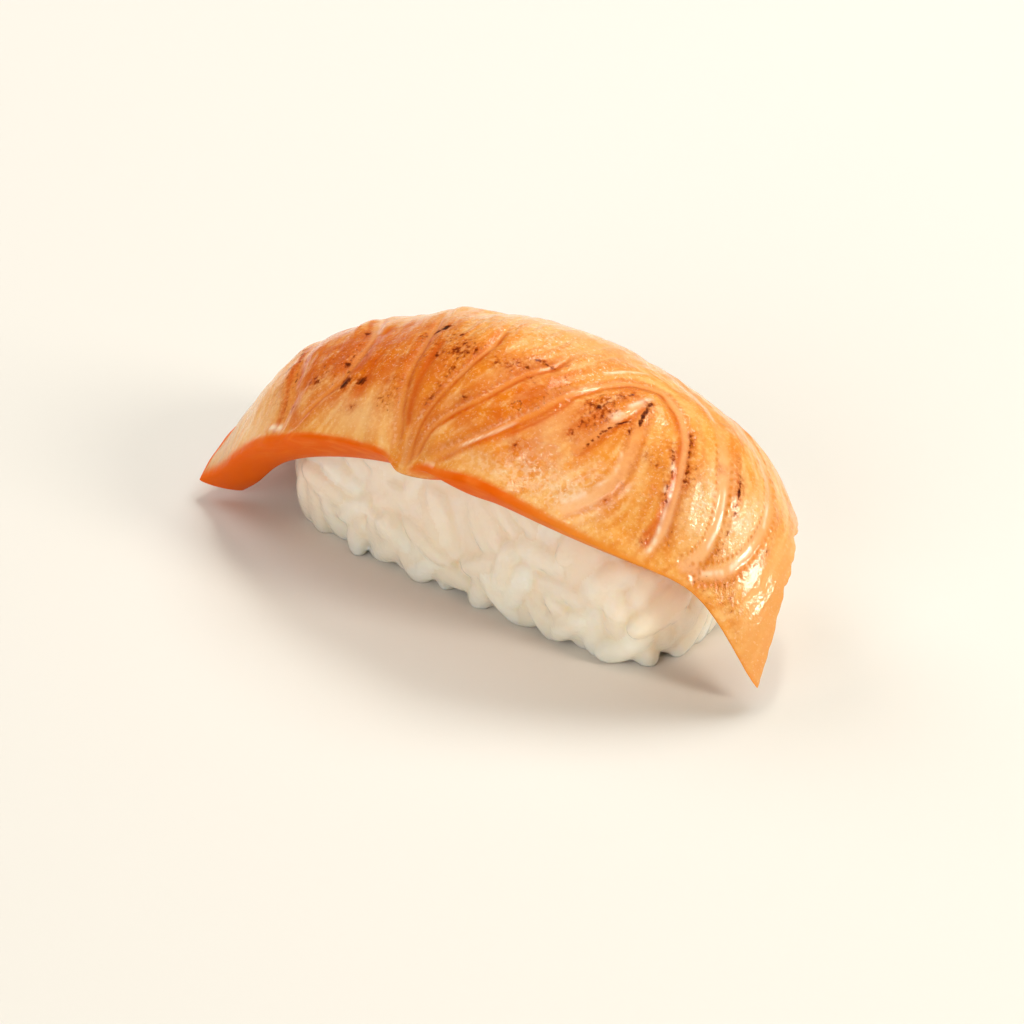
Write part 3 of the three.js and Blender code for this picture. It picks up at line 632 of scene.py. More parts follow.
# The finish of the slice. Flame turned the moist top flesh from pale orange to amber, browned its high
# lines and burnt some spots black. Fat and juice leave it glossy, and at its rim it is still raw.
def node(material, kind, inputs, **settings):
    """A node whose inputs are plain values or the sockets that feed them."""
    made = material.node_tree.nodes.new(kind)
    for name, value in settings.items():
        setattr(made, name, value)
    for key, value in inputs.items():
        if isinstance(value, bpy.types.NodeSocket):
            material.node_tree.links.new(value, made.inputs[key])
        else:
            made.inputs[key].default_value = value
    return made


def marked(material, name):
    """A value that mark() stored on the mesh."""
    return node(material, "ShaderNodeAttribute", {}, attribute_name=name).outputs["Fac"]


def maths(material, operation, a, b=0.0, c=0.0):
    """One step of arithmetic on values in the material."""
    return node(material, "ShaderNodeMath", {0: a, 1: b, 2: c}, operation=operation).outputs[0]


def rescaled(material, value, low, high, to_low=0.0, to_high=1.0):
    """A value that runs from to_low to to_high as another runs from low to high, and stops there."""
    inputs = {"Value": value, "From Min": low, "From Max": high, "To Min": to_low, "To Max": to_high}
    return node(material, "ShaderNodeMapRange", inputs, clamp=True).outputs["Result"]


def tinted(material, share, plain, tint):
    """The plain colour with a share of the tint mixed in."""
    inputs = {0: share, 6: plain, 7: tint}
    return node(material, "ShaderNodeMix", inputs, data_type="RGBA").outputs[2]


def speckle(material, size, detail=3.0, roughness=0.55):
    """Soft noise whose bumps are about size millimetres across."""
    where = node(material, "ShaderNodeTexCoord", {}).outputs["Object"]
    inputs = {"Vector": where, "Scale": 1 / (size * MM), "Detail": detail, "Roughness": roughness}
    return node(material, "ShaderNodeTexNoise", inputs).outputs["Fac"]


def colour(red, green, blue):
    """A colour from its screen values, 0 to 255, as the linear ones that a shader takes."""
    screen = [red / 255, green / 255, blue / 255]
    linear = [s / 12.92 if s <= 0.04045 else ((s + 0.055) / 1.055) ** 2.4 for s in screen]
    return (*linear, 1)


COOKED_FLESH = colour(232, 149, 52)
YELLOW_FLESH = colour(240, 174, 89)
SHADED_TAIL_FLESH = colour(190, 132, 86)
TAIL_FLESH = colour(226, 158, 88)
SEARED_FLESH = colour(222, 117, 2)
DARK_SEAR = colour(204, 86, 2)
MILKY_FLESH = colour(238, 188, 128)
PALE_GRAIN = colour(248, 202, 136)
DEEP_GRAIN = colour(220, 114, 10)
CORD_FLESH = colour(232, 138, 54)
PALE_CORD_AND_PAINTED_HIGHLIGHT = colour(248, 198, 148)
FURROW_AND_SHADE_FLESH = colour(206, 84, 0)
STAINED = colour(188, 74, 2)
BROWNED = colour(118, 40, 2)
BEAD = colour(216, 122, 10)
CHARRED = colour(46, 13, 2)
# Whitish curdled flesh, also used for painted glints.
CURD_AND_PAINTED_GLINT = colour(255, 234, 206)
RAW_FLESH = colour(228, 96, 2)
RAW_STREAK = colour(240, 130, 50)

salmon = bpy.data.materials.new("seared_salmon_flesh")
salmon.use_nodes = True
salmon.node_tree.nodes.clear()

coarse = speckle(salmon, 2.4, 3.0)
mottle = speckle(salmon, 0.42, 2.0, 0.55)
dots = speckle(salmon, 0.42, 2.0, 0.5)
ripples_here = marked(salmon, "ripples")
streaks_here = marked(salmon, "streaks")
seared_here = marked(salmon, "sear")
flesh = tinted(salmon, rescaled(salmon, coarse, 0.3, 0.7), COOKED_FLESH, YELLOW_FLESH)
flesh = tinted(salmon, seared_here, flesh, SEARED_FLESH)
flesh = tinted(salmon, rescaled(salmon, ripples_here, 0.1, 0.9, 0, 0.4), flesh, DEEP_GRAIN)
flesh = tinted(salmon, rescaled(salmon, ripples_here, -0.1, -0.9, 0, 0.3), flesh, PALE_GRAIN)
flesh = tinted(salmon, rescaled(salmon, streaks_here, 0.1, 0.8, 0, 0.4), flesh, DEEP_GRAIN)
flesh = tinted(salmon, rescaled(salmon, streaks_here, -0.1, -0.8, 0, 0.5), flesh, PALE_GRAIN)
flesh = tinted(salmon, rescaled(salmon, mottle, 0.52, 0.70, 0, 0.22), flesh, DEEP_GRAIN)
flesh = tinted(salmon, rescaled(salmon, mottle, 0.48, 0.32, 0, 0.34), flesh, PALE_GRAIN)
tail_flesh = rescaled(salmon, marked(salmon, "along"), 78, 83, 0, 0.75)
flesh = tinted(salmon, tail_flesh, flesh, TAIL_FLESH)
# The left tail is painted darker: painted shade where less light falls on it.
painted_tail_shade = rescaled(salmon, marked(salmon, "along"), 10, 4, 0, 0.6)
flesh = tinted(salmon, painted_tail_shade, flesh, SHADED_TAIL_FLESH)
darkest = maths(salmon, "MULTIPLY", seared_here, rescaled(salmon, coarse, 0.38, 0.60, 0, 0.8))
flesh = tinted(salmon, darkest, flesh, DARK_SEAR)
flesh = tinted(salmon, maths(salmon, "MULTIPLY", marked(salmon, "milky"), 0.85), flesh, MILKY_FLESH)
curd_veins = maths(salmon, "ABSOLUTE", maths(salmon, "SUBTRACT", speckle(salmon, 1.1, 2.0, 0.6), 0.5))
curd_veins = rescaled(salmon, curd_veins, 0.12, 0.0, 0, 0.45)
flesh = tinted(salmon, maths(salmon, "MULTIPLY", curd_veins, marked(salmon, "curdled")), flesh, CURD_AND_PAINTED_GLINT)
blistered_here = marked(salmon, "blistered")
# Tiny pale dots, thickest where the flesh is blistered: painted glints.
painted_glints = rescaled(salmon, speckle(salmon, 0.3, 1.0, 0.5), 0.62, 0.72, 0, 0.8)
painted_glints = maths(salmon, "MULTIPLY", painted_glints, maths(salmon, "MULTIPLY_ADD", blistered_here, 0.8, 0.2))
flesh = tinted(salmon, painted_glints, flesh, CURD_AND_PAINTED_GLINT)
flesh = tinted(salmon, maths(salmon, "MULTIPLY", marked(salmon, "cord"), 0.6), flesh, CORD_FLESH)
flesh = tinted(salmon, maths(salmon, "MULTIPLY", marked(salmon, "pale"), 0.7), flesh, PALE_CORD_AND_PAINTED_HIGHLIGHT)
# Furrows: the seams' darker flesh, with painted shade in the grooves on the side turned from the light.
flesh = tinted(salmon, maths(salmon, "MULTIPLY", marked(salmon, "furrow_and_painted_shade"), 0.95), flesh, FURROW_AND_SHADE_FLESH)
# Pale dots along each cord's left edge: a painted highlight where that edge catches the light.
lit_dots = rescaled(salmon, dots, 0.48, 0.60, 0.1, 0.75)
lit_dots = maths(salmon, "MULTIPLY", marked(salmon, "lit_edge"), lit_dots)
flesh = tinted(salmon, lit_dots, flesh, PALE_CORD_AND_PAINTED_HIGHLIGHT)
# Pale set fat, partly painted highlights where glints fall.
flesh = tinted(salmon, marked(salmon, "fat_and_painted_glints"), flesh, CURD_AND_PAINTED_GLINT)

stained = rescaled(salmon, mottle, 0.35, 0.65, 0.35, 1.0)
stained = maths(salmon, "MULTIPLY", marked(salmon, "stain"), stained)
flesh = tinted(salmon, stained, flesh, STAINED)
browned = maths(salmon, "MULTIPLY", marked(salmon, "scorch"), 0.62)
browned = maths(salmon, "ADD", browned, maths(salmon, "MULTIPLY_ADD", dots, 1.5, -0.36))
flesh = tinted(salmon, rescaled(salmon, browned, 0.76, 1.10, 0, 0.9), flesh, BROWNED)
flesh = tinted(salmon, rescaled(salmon, browned, 1.10, 1.46, 0, 0.9), flesh, CHARRED)
flesh = tinted(salmon, rescaled(salmon, marked(salmon, "beads"), 0.1, 0.6, 0, 0.7), flesh, BEAD)

# At its rim the slice is still raw: deep orange, with faint wavy streaks, and moist but not glossy.
streak_place = node(salmon, "ShaderNodeCombineXYZ", {
    0: maths(salmon, "MULTIPLY", marked(salmon, "along"), 0.16),
    1: maths(salmon, "MULTIPLY", marked(salmon, "across"), 0.16),
    2: maths(salmon, "MULTIPLY", marked(salmon, "depth"), 2.2),
}).outputs[0]
raw_streaks = node(salmon, "ShaderNodeTexNoise", {
    "Vector": streak_place, "Scale": 2.0, "Detail": 3.0, "Distortion": 0.6,
}).outputs["Fac"]
streaked = maths(
    salmon, "MULTIPLY",
    rescaled(salmon, raw_streaks, 0.46, 0.70, 0, 0.6),
    rescaled(salmon, marked(salmon, "along"), 12, 22, 0.1, 0.7),
)
raw_flesh = tinted(salmon, streaked, RAW_FLESH, RAW_STREAK)
warmed = rescaled(salmon, marked(salmon, "along"), 52, 64, 0, 0.8)
raw_flesh = tinted(salmon, warmed, raw_flesh, COOKED_FLESH)
flesh = tinted(salmon, marked(salmon, "raw"), flesh, raw_flesh)
seared = maths(salmon, "SUBTRACT", 1.0, marked(salmon, "raw"))

fine_relief = speckle(salmon, 0.36, 2.0, 0.55)
smooth_cord = maths(salmon, "MULTIPLY_ADD", marked(salmon, "cord"), -0.7, 1.0)
roughened = maths(salmon, "MULTIPLY_ADD", blistered_here, 0.6, 0.15)
roughened = maths(salmon, "ADD", roughened, maths(salmon, "MULTIPLY", marked(salmon, "beads"), 0.5))
roughened = maths(salmon, "MULTIPLY", maths(salmon, "MULTIPLY", roughened, smooth_cord), seared)
char_gloss = rescaled(salmon, browned, 0.76, 0.92, 1.0, 0.1)
bump_height = maths(salmon, "MULTIPLY", fine_relief, maths(salmon, "MULTIPLY", roughened, char_gloss))
wet = node(salmon, "ShaderNodeBump", {"Height": bump_height, "Strength": 0.7, "Distance": 0.35 * MM})
coat = maths(salmon, "MULTIPLY", maths(salmon, "MULTIPLY_ADD", seared, 0.75, 0.05), char_gloss)
flesh_shader = node(salmon, "ShaderNodeBsdfPrincipled", {
    "Base Color": flesh,
    "Roughness": 0.5,
    "Specular IOR Level": 0.06,
    "Subsurface Weight": 0.15,
    "Subsurface Radius": (1.0, 0.38, 0.12),
    "Subsurface Scale": 1.5 * MM,
    "Coat Weight": coat,
    "Coat Roughness": 0.07,
    "Coat IOR": 1.36,
    "Normal": wet.outputs[0],
    "Coat Normal": wet.outputs[0],
})
node(salmon, "ShaderNodeOutputMaterial", {"Surface": flesh_shader.outputs[0]})
salmon_mesh.materials.append(salmon)

seared_salmon = bpy.data.objects.new("seared_salmon", salmon_mesh)
bpy.context.collection.objects.link(seared_salmon)
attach(seared_salmon, "root")
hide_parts("salmon_slice")

# The rice. Cooked short grains are pressed in the hand to a mound, flat where it stands and hollowed
# to the slice on top. They flatten where they touch the palm, the board and the fish, and their own
# starch holds them together. Three hundred are made, round the sides and under a solid middle.
RICE_LENGTH = 51.0
RICE_WIDTH = 24.6
RICE_END_FLARE = 1.7  # the foot is shorter than the swell by this much at each end
RICE_SIDE_FLARE = 1.2  # and narrower by this much at each side
RICE_SWELL_HEIGHT = 7.0  # height at which the mound is widest
RICE_LEAN = 1.7  # the upper part draws in by this much all round
RICE_SHOULDER = 17.0  # height at which it has drawn in fully
RICE_CORNER_POWER = 6.0  # how square its outline is at the corners
OUTLINE_INSET = 1.3  # the grains are laid out round the mound this far inside its outline
GAP = 0.3  # clearance between rice and salmon

GRAIN_LENGTH = 7.2
GRAIN_WIDTH = 3.1
GRAIN_THICKNESS = 2.7
PALM_SOFTNESS = 0.3  # how deep the hand's pressure reaches into the grains it flattens
STARCH_SIZE = 0.28  # the grains stick together with starch that fills their creases this finely
random = np.random.default_rng(7)


def mound_point(angle, height, inset):
    """A point of the mound's side, inset millimetres inside its outline."""
    foot = 1 - ease(height, -1, RICE_SWELL_HEIGHT)
    shoulder = ease(height, RICE_SWELL_HEIGHT - 2, RICE_SHOULDER)
    half_length = RICE_LENGTH / 2 - RICE_END_FLARE * foot - RICE_LEAN * shoulder - inset
    half_side = RICE_WIDTH / 2 - RICE_SIDE_FLARE * foot - RICE_LEAN * shoulder - inset
    power = 2 / RICE_CORNER_POWER
    x = half_length * np.sign(np.cos(angle)) * np.abs(np.cos(angle)) ** power
    y = half_side * np.sign(np.sin(angle)) * np.abs(np.sin(angle)) ** power
    return np.stack(np.broadcast_arrays(x, y, height), axis=-1)


outline_angles = np.linspace(0, 2 * np.pi, 1441)
outline_steps = np.diff(mound_point(outline_angles, RICE_SWELL_HEIGHT, OUTLINE_INSET), axis=0)
outline_lengths = np.concatenate([[0], np.cumsum(np.linalg.norm(outline_steps, axis=1))])
OUTLINE = outline_lengths[-1]


def angle_at(length):
    """The angle at a length measured round the mound's outline."""
    return np.interp(length % OUTLINE, outline_lengths, outline_angles)


SETTLING_ROUNDS = 90


def settled(count, low, high, spacing, seed):
    """Grains on the unrolled side of the mound, pushed apart until they only just overlap: the length
    round the outline, the height and the turn of each."""
    draw = np.random.default_rng(seed)
    centre = np.stack([draw.uniform(0, OUTLINE, count), draw.uniform(low, high, count)], axis=1)
    turn = draw.uniform(0, np.pi, count)
    reach = (GRAIN_LENGTH - GRAIN_WIDTH) / 2
    lobes = np.array([-1.0, 0.0, 1.0]) * reach
    own = np.repeat(np.arange(count), 3)
    for _ in range(SETTLING_ROUNDS):
        along = np.stack([np.cos(turn), np.sin(turn)], axis=1)
        discs = (centre[:, None, :] + lobes[None, :, None] * along[:, None, :]).reshape(-1, 2)
        apart = discs[:, None, :] - discs[None, :, :]
        apart[..., 0] = (apart[..., 0] + OUTLINE / 2) % OUTLINE - OUTLINE / 2
        distance = np.linalg.norm(apart, axis=-1) + 1e-6
        overlap = np.clip(spacing - distance, 0, None) * (own[:, None] != own[None, :])
        push = (apart / distance[..., None] * overlap[..., None]).sum(axis=1).reshape(count, 3, 2)
        centre += 0.16 * push.sum(axis=1)
        sideways = push[..., 1] * along[:, None, 0] - push[..., 0] * along[:, None, 1]
        turn += 0.10 * (sideways * lobes[None, :]).sum(axis=1) / reach
        centre[:, 1] = np.clip(centre[:, 1], low, high)
    return centre[:, 0], centre[:, 1], turn


RINGS = 15
RING_SIDES = 16
BLUNTNESS = 0.72  # how soon a grain is thick: 1 would give it pointed ends


def grain_points(draw):
    """One cooked grain along X: plump, blunt at both ends, a little bent and uneven. Its rings come
    first and its two tips last."""
    scale = 1 + 0.12 * draw.uniform(-1, 1)
    bow = draw.uniform(-0.45, 0.45)
    taper = draw.uniform(-0.14, 0.14)
    t = np.linspace(0, np.pi, RINGS + 2)[1:-1, None]
    around_ring = np.linspace(0, 2 * np.pi, RING_SIDES, endpoint=False)[None, :]
    along = -np.cos(t)
    girth = np.sin(t) ** BLUNTNESS * (1 + taper * along)
    x = GRAIN_LENGTH / 2 * along + 0 * around_ring
    y = GRAIN_WIDTH / 2 * girth * np.cos(around_ring) + bow * (1 - along**2)
    z = GRAIN_THICKNESS / 2 * girth * np.sin(around_ring)
    tips = [[-GRAIN_LENGTH / 2, 0, 0], [GRAIN_LENGTH / 2, 0, 0]]
    return scale * np.concatenate([np.stack([x, y, z], axis=-1).reshape(-1, 3), tips])


def closed_rings(rows, columns):
    """Faces of a closed skin whose rings are numbered first and its two tips last."""
    numbers = grid_numbers(0, rows, columns)
    numbers = np.concatenate([numbers, numbers[:, :1]], axis=1)
    first_tip, last_tip = rows * columns, rows * columns + 1
    found = grid_faces(numbers, turned=True)
    found += [(first_tip, b, a) for a, b in zip(numbers[0].tolist(), numbers[0, 1:].tolist())]
    found += [(last_tip, a, b) for a, b in zip(numbers[-1].tolist(), numbers[-1, 1:].tolist())]
    return found


# The slice's underside with an apron round it, to hollow the rice's top.
APRON = 8.0
DRAPE_ROWS = 121
DRAPE_COLUMNS = 25
drape_fraction = np.linspace(0, 1, DRAPE_ROWS)[:, None] * np.ones((1, DRAPE_COLUMNS))
drape_side = np.linspace(-1, 1, DRAPE_COLUMNS)[None, :] * np.ones((DRAPE_ROWS, 1))
drape = under_point(drape_fraction, drape_side, GAP)
drape = np.concatenate([drape[:, :1] - [0, APRON, 0], drape, drape[:, -1:] + [0, APRON, 0]], axis=1)
drape_faces = grid_faces(grid_numbers(0, *drape.shape[:2]))
drape_tree = BVHTree.FromPolygons(drape.reshape(-1, 3).tolist(), drape_faces)


def ceiling(x, y):
    """Height of the salmon's underside above a point of the board."""
    hit = drape_tree.ray_cast(Vector((x, y, 80)), Vector((0, 0, -1)))[0]
    return hit.z if hit else 0.0


def pressed(grain, palm=None):
    """Flattens a grain against the hand, the board and the fish. The palm is a point on the mound's
    side and the direction out of it."""
    if palm is not None:
        point, out_way = palm
        proud = (grain - point) @ out_way
        flattened = PALM_SOFTNESS * (np.tanh(proud / PALM_SOFTNESS + 1) - 1)
        grain = grain + np.where(proud > -PALM_SOFTNESS, flattened - proud, 0)[:, None] * out_way
    tops = np.array([ceiling(x, y) for x, y, _ in grain])
    grain[:, 2] = np.clip(grain[:, 2], 0.0, np.maximum(tops, 0.05))
    return grain


def frame_at(length, height, inset, turn, tilt):
    """The place of a grain on the mound's side, its long axis turned in the surface and tilted out."""
    angle = angle_at(length)
    centre = mound_point(angle, height, inset)
    round_way = unit(mound_point(angle + 0.02, height, inset) - mound_point(angle - 0.02, height, inset))
    up_way = unit(mound_point(angle, height + 0.5, inset) - mound_point(angle, height - 0.5, inset))
    out_way = unit(np.cross(round_way, up_way))
    long_way = unit(round_way * np.cos(turn) + up_way * np.sin(turn) + out_way * tilt)
    wide_way = unit(np.cross(out_way, long_way))
    return centre, long_way, wide_way, np.cross(long_way, wide_way)


grains = bpy.data.collections.new("grains")
bpy.context.scene.collection.children.link(grains)
grain_axes = []


def closed_solid(name, points, faces):
    """An object from points in millimetres and the faces between them."""
    mesh = bpy.data.meshes.new(name)
    mesh.from_pydata((points * MM).tolist(), [], faces)
    return bpy.data.objects.new(name, mesh)


def add_grain(centre, long_way, wide_way, thick_way, palm=None):
    """Adds a grain, unless its middle would be up in the fish."""
    if centre[2] > ceiling(centre[0], centre[1]) + 0.6:
        return
    placed = centre + grain_points(random) @ np.stack([long_way, wide_way, thick_way])
    grains.objects.link(closed_solid("grain", pressed(placed, palm), closed_rings(RINGS, RING_SIDES)))
    half = long_way * (GRAIN_LENGTH - GRAIN_WIDTH) / 2
    grain_axes.append((centre - half, centre + half))


LAYERS = [  # grains, lowest and highest centre, spacing, inset, seed
    (190, 2.6, 20.0, 2.8, 1.2, 3),
    (140, 2.4, 20.0, 3.0, 1.8, 5),
]
for count, low, high, spacing, inset, seed in LAYERS:
    for length, height, turn in zip(*settled(count, low, high, spacing, seed)):
        lowest = abs(np.sin(turn)) * (GRAIN_LENGTH - GRAIN_WIDTH) / 2 + 0.42 * GRAIN_WIDTH
        height = max(height, lowest)
        depth_in = inset + random.uniform(-0.2, 0.25)
        tilt = random.uniform(-0.12, 0.12)
        centre, long_way, wide_way, out_way = frame_at(length, height, depth_in, turn, tilt)
        add_grain(centre, long_way, wide_way, out_way, (centre + out_way * inset, out_way))

# A row of grains round the foot stands more or less upright, and its underside is paved with more.
FOOT_SPACING = 3.5
FOOT_HEIGHT = 2.9
foot_count = int(OUTLINE / FOOT_SPACING)
for foot in range(foot_count):
    length = OUTLINE * (foot + random.uniform(-0.3, 0.3)) / foot_count
    turn = np.pi / 2 + random.uniform(-1.0, 1.0)
    depth_in = 1.1 + random.uniform(-0.6, 0.7)
    tilt = random.uniform(-0.25, 0.05)
    add_grain(*frame_at(length, FOOT_HEIGHT, depth_in, turn, tilt))
for row in range(7):
    for column in range(13):
        x = -21 + 3.5 * column + random.uniform(-1, 1)
        y = -9 + 3.0 * row + random.uniform(-0.8, 0.8)
        turn = random.uniform(0, np.pi)
        if (abs(x) / 18) ** 5 + (abs(y) / 6) ** 5 < 1:
            long_way = np.array([np.cos(turn), np.sin(turn), 0.0])
            wide_way = np.array([-np.sin(turn), np.cos(turn), 0.0])
            add_grain(np.array([x, y, 1.2]), long_way, wide_way, np.array([0.0, 0.0, 1.0]))

# What is left between them is filled with the starch and broken grains of the mound's middle. Its rings
# from the foot to the top: height, inset, and how far each is drawn in to close the ends.
CORE_FOOT = (0.9, 3.4)
CORE_TOP = (26.0, 0.65)
CORE_RINGS = [
    (*CORE_FOOT, 0.35), (*CORE_FOOT, 0.7), (*CORE_FOOT, 1), (2.5, 2.2, 1), (5.0, 0.9, 1),
    (9.0, 0.65, 1), (14.0, 0.65, 1), (19.0, 0.65, 1), (*CORE_TOP, 1), (*CORE_TOP, 0.7), (*CORE_TOP, 0.35),
]
CORE_SIDES = 64
core_angles = angle_at(np.linspace(0, OUTLINE, CORE_SIDES, endpoint=False))
core_rows = []
for height, inset, drawn_in in CORE_RINGS:
    core_rows.append(mound_point(core_angles, height, inset) * [drawn_in, drawn_in, 1])
core = np.concatenate([*core_rows, [[0, 0, CORE_FOOT[0]], [0, 0, CORE_TOP[0]]]])
core_tops = np.array([ceiling(x, y) for x, y, _ in core])
core[:, 2] = np.clip(core[:, 2], CORE_FOOT[0], np.maximum(core_tops - 0.6, 1.0))
pressed_rice = closed_solid("pressed_rice", core, closed_rings(len(CORE_RINGS), CORE_SIDES))
bpy.context.collection.objects.link(pressed_rice)
join = pressed_rice.modifiers.new("join", "BOOLEAN")
join.operation = "UNION"
join.solver = "MANIFOLD"
join.operand_type = "COLLECTION"
join.collection = grains
fuse = pressed_rice.modifiers.new("fuse", "REMESH")
fuse.mode = "VOXEL"
fuse.voxel_size = STARCH_SIZE * MM
settled_rice = bpy.data.meshes.new_from_object(
    pressed_rice.evaluated_get(bpy.context.evaluated_depsgraph_get())
)
pressed_rice.modifiers.clear()
for grain in list(grains.objects):
    bpy.data.objects.remove(grain)
bpy.data.collections.remove(grains)

# Gaps left closed inside the mound are taken out: only the largest connected part, its outside, stays.
edges = np.array([edge.vertices[:] for edge in settled_rice.edges])
part = np.arange(len(settled_rice.vertices))
while True:
    lower = np.minimum(part[edges[:, 0]], part[edges[:, 1]])
    nearer = part.copy()
    np.minimum.at(nearer, edges[:, 0], lower)
    np.minimum.at(nearer, edges[:, 1], lower)
    nearer = nearer[nearer]
    if (nearer == part).all():
        break
    part = nearer
outermost = np.bincount(part).argmax()
trimmer = bmesh.new()
trimmer.from_mesh(settled_rice)
bmesh.ops.delete(trimmer, geom=[v for v, p in zip(trimmer.verts, part) if p != outermost], context="VERTS")
every_way = {"use_axis_x": True, "use_axis_y": True, "use_axis_z": True}
for _ in range(2):
    bmesh.ops.smooth_vert(trimmer, verts=trimmer.verts, factor=0.5, **every_way)
trimmer.to_mesh(settled_rice)
trimmer.free()
pressed_rice.data = settled_rice
settled_rice.name = "pressed_rice"
settled_rice.shade_smooth()

# How near each point lies to its second nearest grain tells the creases from the grains' crowns; the
# creases are painted darker as shade.
spots = np.array([v.co for v in settled_rice.vertices]) / MM
centres = np.array([p.center for p in settled_rice.polygons]) / MM


def nearest_grains(places):
    """Which grain each place belongs to, and how much further the next one is."""
    first_near = np.full(len(places), 99.0)
    second_near = np.full(len(places), 99.0)
    owner = np.zeros(len(places), int)
    for i, (start, end) in enumerate(grain_axes):
        run = end - start
        t = np.clip((places - start) @ run / (run @ run), 0, 1)
        away = np.linalg.norm(places - start - t[:, None] * run, axis=1)
        closer = away < first_near
        second_near = np.where(closer, first_near, np.minimum(second_near, away))
        owner = np.where(closer, i, owner)
        first_near = np.where(closer, away, first_near)
    return owner, second_near - first_near


CREASE_SOFTNESS = 0.3
STAIN_AND_SHADE_REACH = 3.0  # how far down the rice took up the salmon's fat, and is painted with shade under the slice
_, margin = nearest_grains(spots)
mark(settled_rice, "painted_crease_shade", np.exp(-margin / CREASE_SOFTNESS))
owner, _ = nearest_grains(centres)
tones = np.random.default_rng(2).uniform(0, 1, len(grain_axes))
tone = settled_rice.attributes.new("grain_tone", "FLOAT", "FACE")
tone.data.foreach_set("value", tones[owner].astype(np.float32))
clearance = np.array([ceiling(x, y) for x, y, _ in spots]) - spots[:, 2]
mark(settled_rice, "salmon_fat_and_painted_shade", np.exp(-np.clip(clearance, 0, None) / STAIN_AND_SHADE_REACH))

COOKED_RICE = colour(252, 243, 230)
CLEAR_RICE = colour(242, 227, 206)
SHADED_CREASE_RICE = colour(242, 224, 198)
SALMON_STAIN_AND_SHADE = colour(242, 194, 164)

rice = bpy.data.materials.new("cooked_rice")
rice.use_nodes = True
rice.node_tree.nodes.clear()
cloud = speckle(rice, 3.5, 2.0)
kernel = tinted(rice, rescaled(rice, cloud, 0.35, 0.65, 0, 0.6), COOKED_RICE, CLEAR_RICE)
kernel = tinted(rice, maths(rice, "MULTIPLY", marked(rice, "grain_tone"), 0.9), kernel, CLEAR_RICE)
# The creases between grains are painted darker and yellower: painted shade.
kernel = tinted(rice, maths(rice, "MULTIPLY", marked(rice, "painted_crease_shade"), 0.25), kernel, SHADED_CREASE_RICE)
# Near the slice the rice is tinted pinker and darker: partly the salmon's fat, partly painted shade under
# the slice.
kernel = tinted(rice, maths(rice, "MULTIPLY", marked(rice, "salmon_fat_and_painted_shade"), 0.5), kernel, SALMON_STAIN_AND_SHADE)
starch = node(rice, "ShaderNodeBump", {
    "Height": speckle(rice, 0.6, 2.0), "Strength": 0.6, "Distance": 0.16 * MM,
})
rice_shader = node(rice, "ShaderNodeBsdfPrincipled", {
    "Base Color": kernel,
    "Roughness": rescaled(rice, cloud, 0.3, 0.7, 0.3, 0.45),
    "IOR": 1.4,
    "Subsurface Weight": 1.0,
    "Subsurface Radius": (1.0, 0.8, 0.6),
    "Subsurface Scale": 5.0 * MM,
    "Coat Weight": 0.7,
    "Coat Roughness": 0.1,
    "Coat IOR": 1.4,
    "Normal": starch.outputs[0],
    "Coat Normal": starch.outputs[0],
})
node(rice, "ShaderNodeOutputMaterial", {"Surface": rice_shader.outputs[0]})
settled_rice.materials.clear()
settled_rice.materials.append(rice)
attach(pressed_rice, "root")
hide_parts("rice_mound")

# The table top that it stands on for its picture: a plain pale sheet of paper, laid flat under the
# rice and wide enough to fill the view.
TABLE_WIDTH = 6000.0
bpy.ops.mesh.primitive_grid_add(x_subdivisions=2, y_subdivisions=2, size=TABLE_WIDTH * MM)
table_top = bpy.context.object
table_top.name = "table_top"
paper = bpy.data.materials.new("pale_paper")
paper.use_nodes = True
paper_shader = paper.node_tree.nodes["Principled BSDF"]
paper_shader.inputs["Base Color"].default_value = colour(226, 224, 220)
paper_shader.inputs["Roughness"].default_value = 0.8
table_top.data.materials.append(paper)


# Studio light. Broad soft boxes behind, at the right, at the left and in front light it without gloss.
# A strip overhead, and two gleams that show as gloss alone, put the shine on the crest, the falling
# tail and the flesh between the seams.
def aim(thing, azimuth, elevation, distance, target):
    """Puts a lamp or the camera round the nigiri, looking at a target in millimetres."""
    a, e = np.radians([azimuth, elevation])
    back = Vector((np.sin(a) * np.cos(e), -np.cos(a) * np.cos(e), np.sin(e)))
    thing.location = (Vector(target) + back * distance) * MM
    thing.rotation_mode = "QUATERNION"
    thing.rotation_quaternion = back.to_track_quat("Z", "Y")


def soft_box(name, azimuth, elevation, distance, size, power, tint, lights=True, shines=True):
    """A lamp aimed at the nigiri. It may light it without gloss, or show as gloss alone."""
    lamp = bpy.data.lights.new(name, "AREA")
    lamp.color = tint
    lamp.shape = "ELLIPSE"
    lamp.size = size[0] * MM
    lamp.size_y = size[1] * MM
    lamp.energy = power
    thing = bpy.data.objects.new(name, lamp)
    thing.visible_diffuse = lights
    thing.visible_glossy = shines
    bpy.context.collection.objects.link(thing)
    aim(thing, azimuth, elevation, distance, (0, 0, 12))


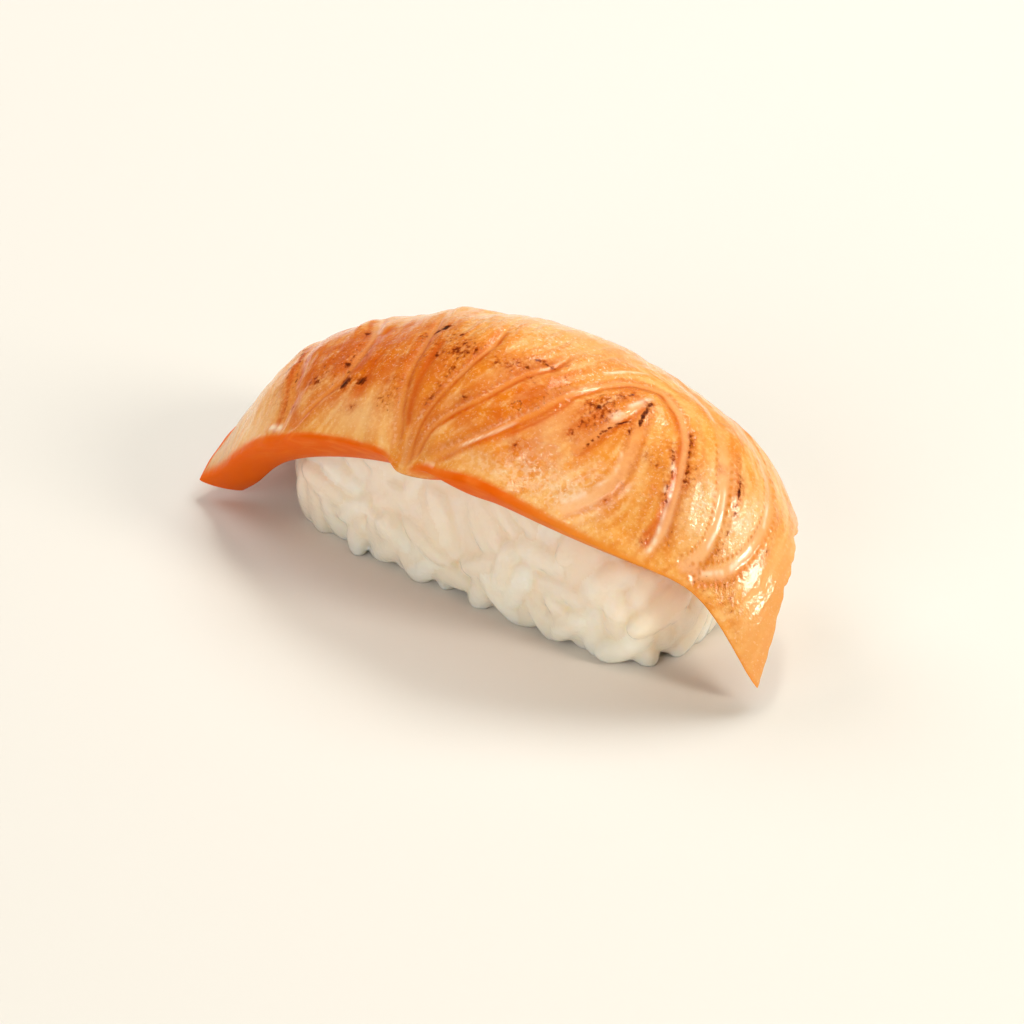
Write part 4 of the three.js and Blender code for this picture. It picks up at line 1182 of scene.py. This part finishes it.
WHITE = (1.0, 1.0, 1.0)
WARM = (1.0, 0.93, 0.8)
soft_box("overhead_box", 178, 54, 700, (400, 400), 2.4, WHITE, shines=False)
soft_box("overhead_strip", -155, 58, 700, (50, 300), 1.1, WARM)
soft_box("right_box", 98, 29, 600, (130, 240), 1.9, WARM, shines=False)
soft_box("right_gleam", 105, 28, 600, (300, 150), 5.5, WARM, lights=False)
soft_box("front_gleam", 12, 60, 700, (70, 50), 0.6, WARM, lights=False)
soft_box("left_fill", -95, 40, 800, (500, 500), 2.2, WHITE, shines=False)
soft_box("front_fill", 8, 24, 800, (600, 500), 2.8, WHITE, shines=False)

studio = bpy.data.worlds.new("studio")
studio.use_nodes = True
glow = studio.node_tree.nodes["Background"]
glow.inputs["Color"].default_value = (1.0, 0.84, 0.5, 1)
glow.inputs["Strength"].default_value = 0.18
bpy.context.scene.world = studio
bpy.context.scene.view_settings.view_transform = "Standard"

# The camera. A long lens stands above and to the right of the nigiri's front, turned so that the middle
# of the rice's foot comes where it does in the picture.
lens = bpy.data.cameras.new("camera")
lens.lens = 141.75
lens.sensor_width = 36
lens.clip_start = 0.01
lens.clip_end = 20
camera = bpy.data.objects.new("camera", lens)
bpy.context.collection.objects.link(camera)
VIEW_AZIMUTH, VIEW_ELEVATION, VIEW_DISTANCE = 40, 31, 420
PIXELS_PER_MM = 9.6
MIDDLE_PIXEL = 512
FOOT_PIXEL = (528, 556)  # where the middle of the rice's foot appears in the picture
a, e = np.radians([VIEW_AZIMUTH, VIEW_ELEVATION])
right_way = Vector((np.cos(a), np.sin(a), 0))
up_way = Vector((-np.sin(a) * np.sin(e), np.cos(a) * np.sin(e), np.cos(e)))
aim_point = right_way * ((MIDDLE_PIXEL - FOOT_PIXEL[0]) / PIXELS_PER_MM)
aim_point += up_way * ((FOOT_PIXEL[1] - MIDDLE_PIXEL) / PIXELS_PER_MM)
aim(camera, VIEW_AZIMUTH, VIEW_ELEVATION, VIEW_DISTANCE, aim_point)
bpy.context.scene.camera = camera
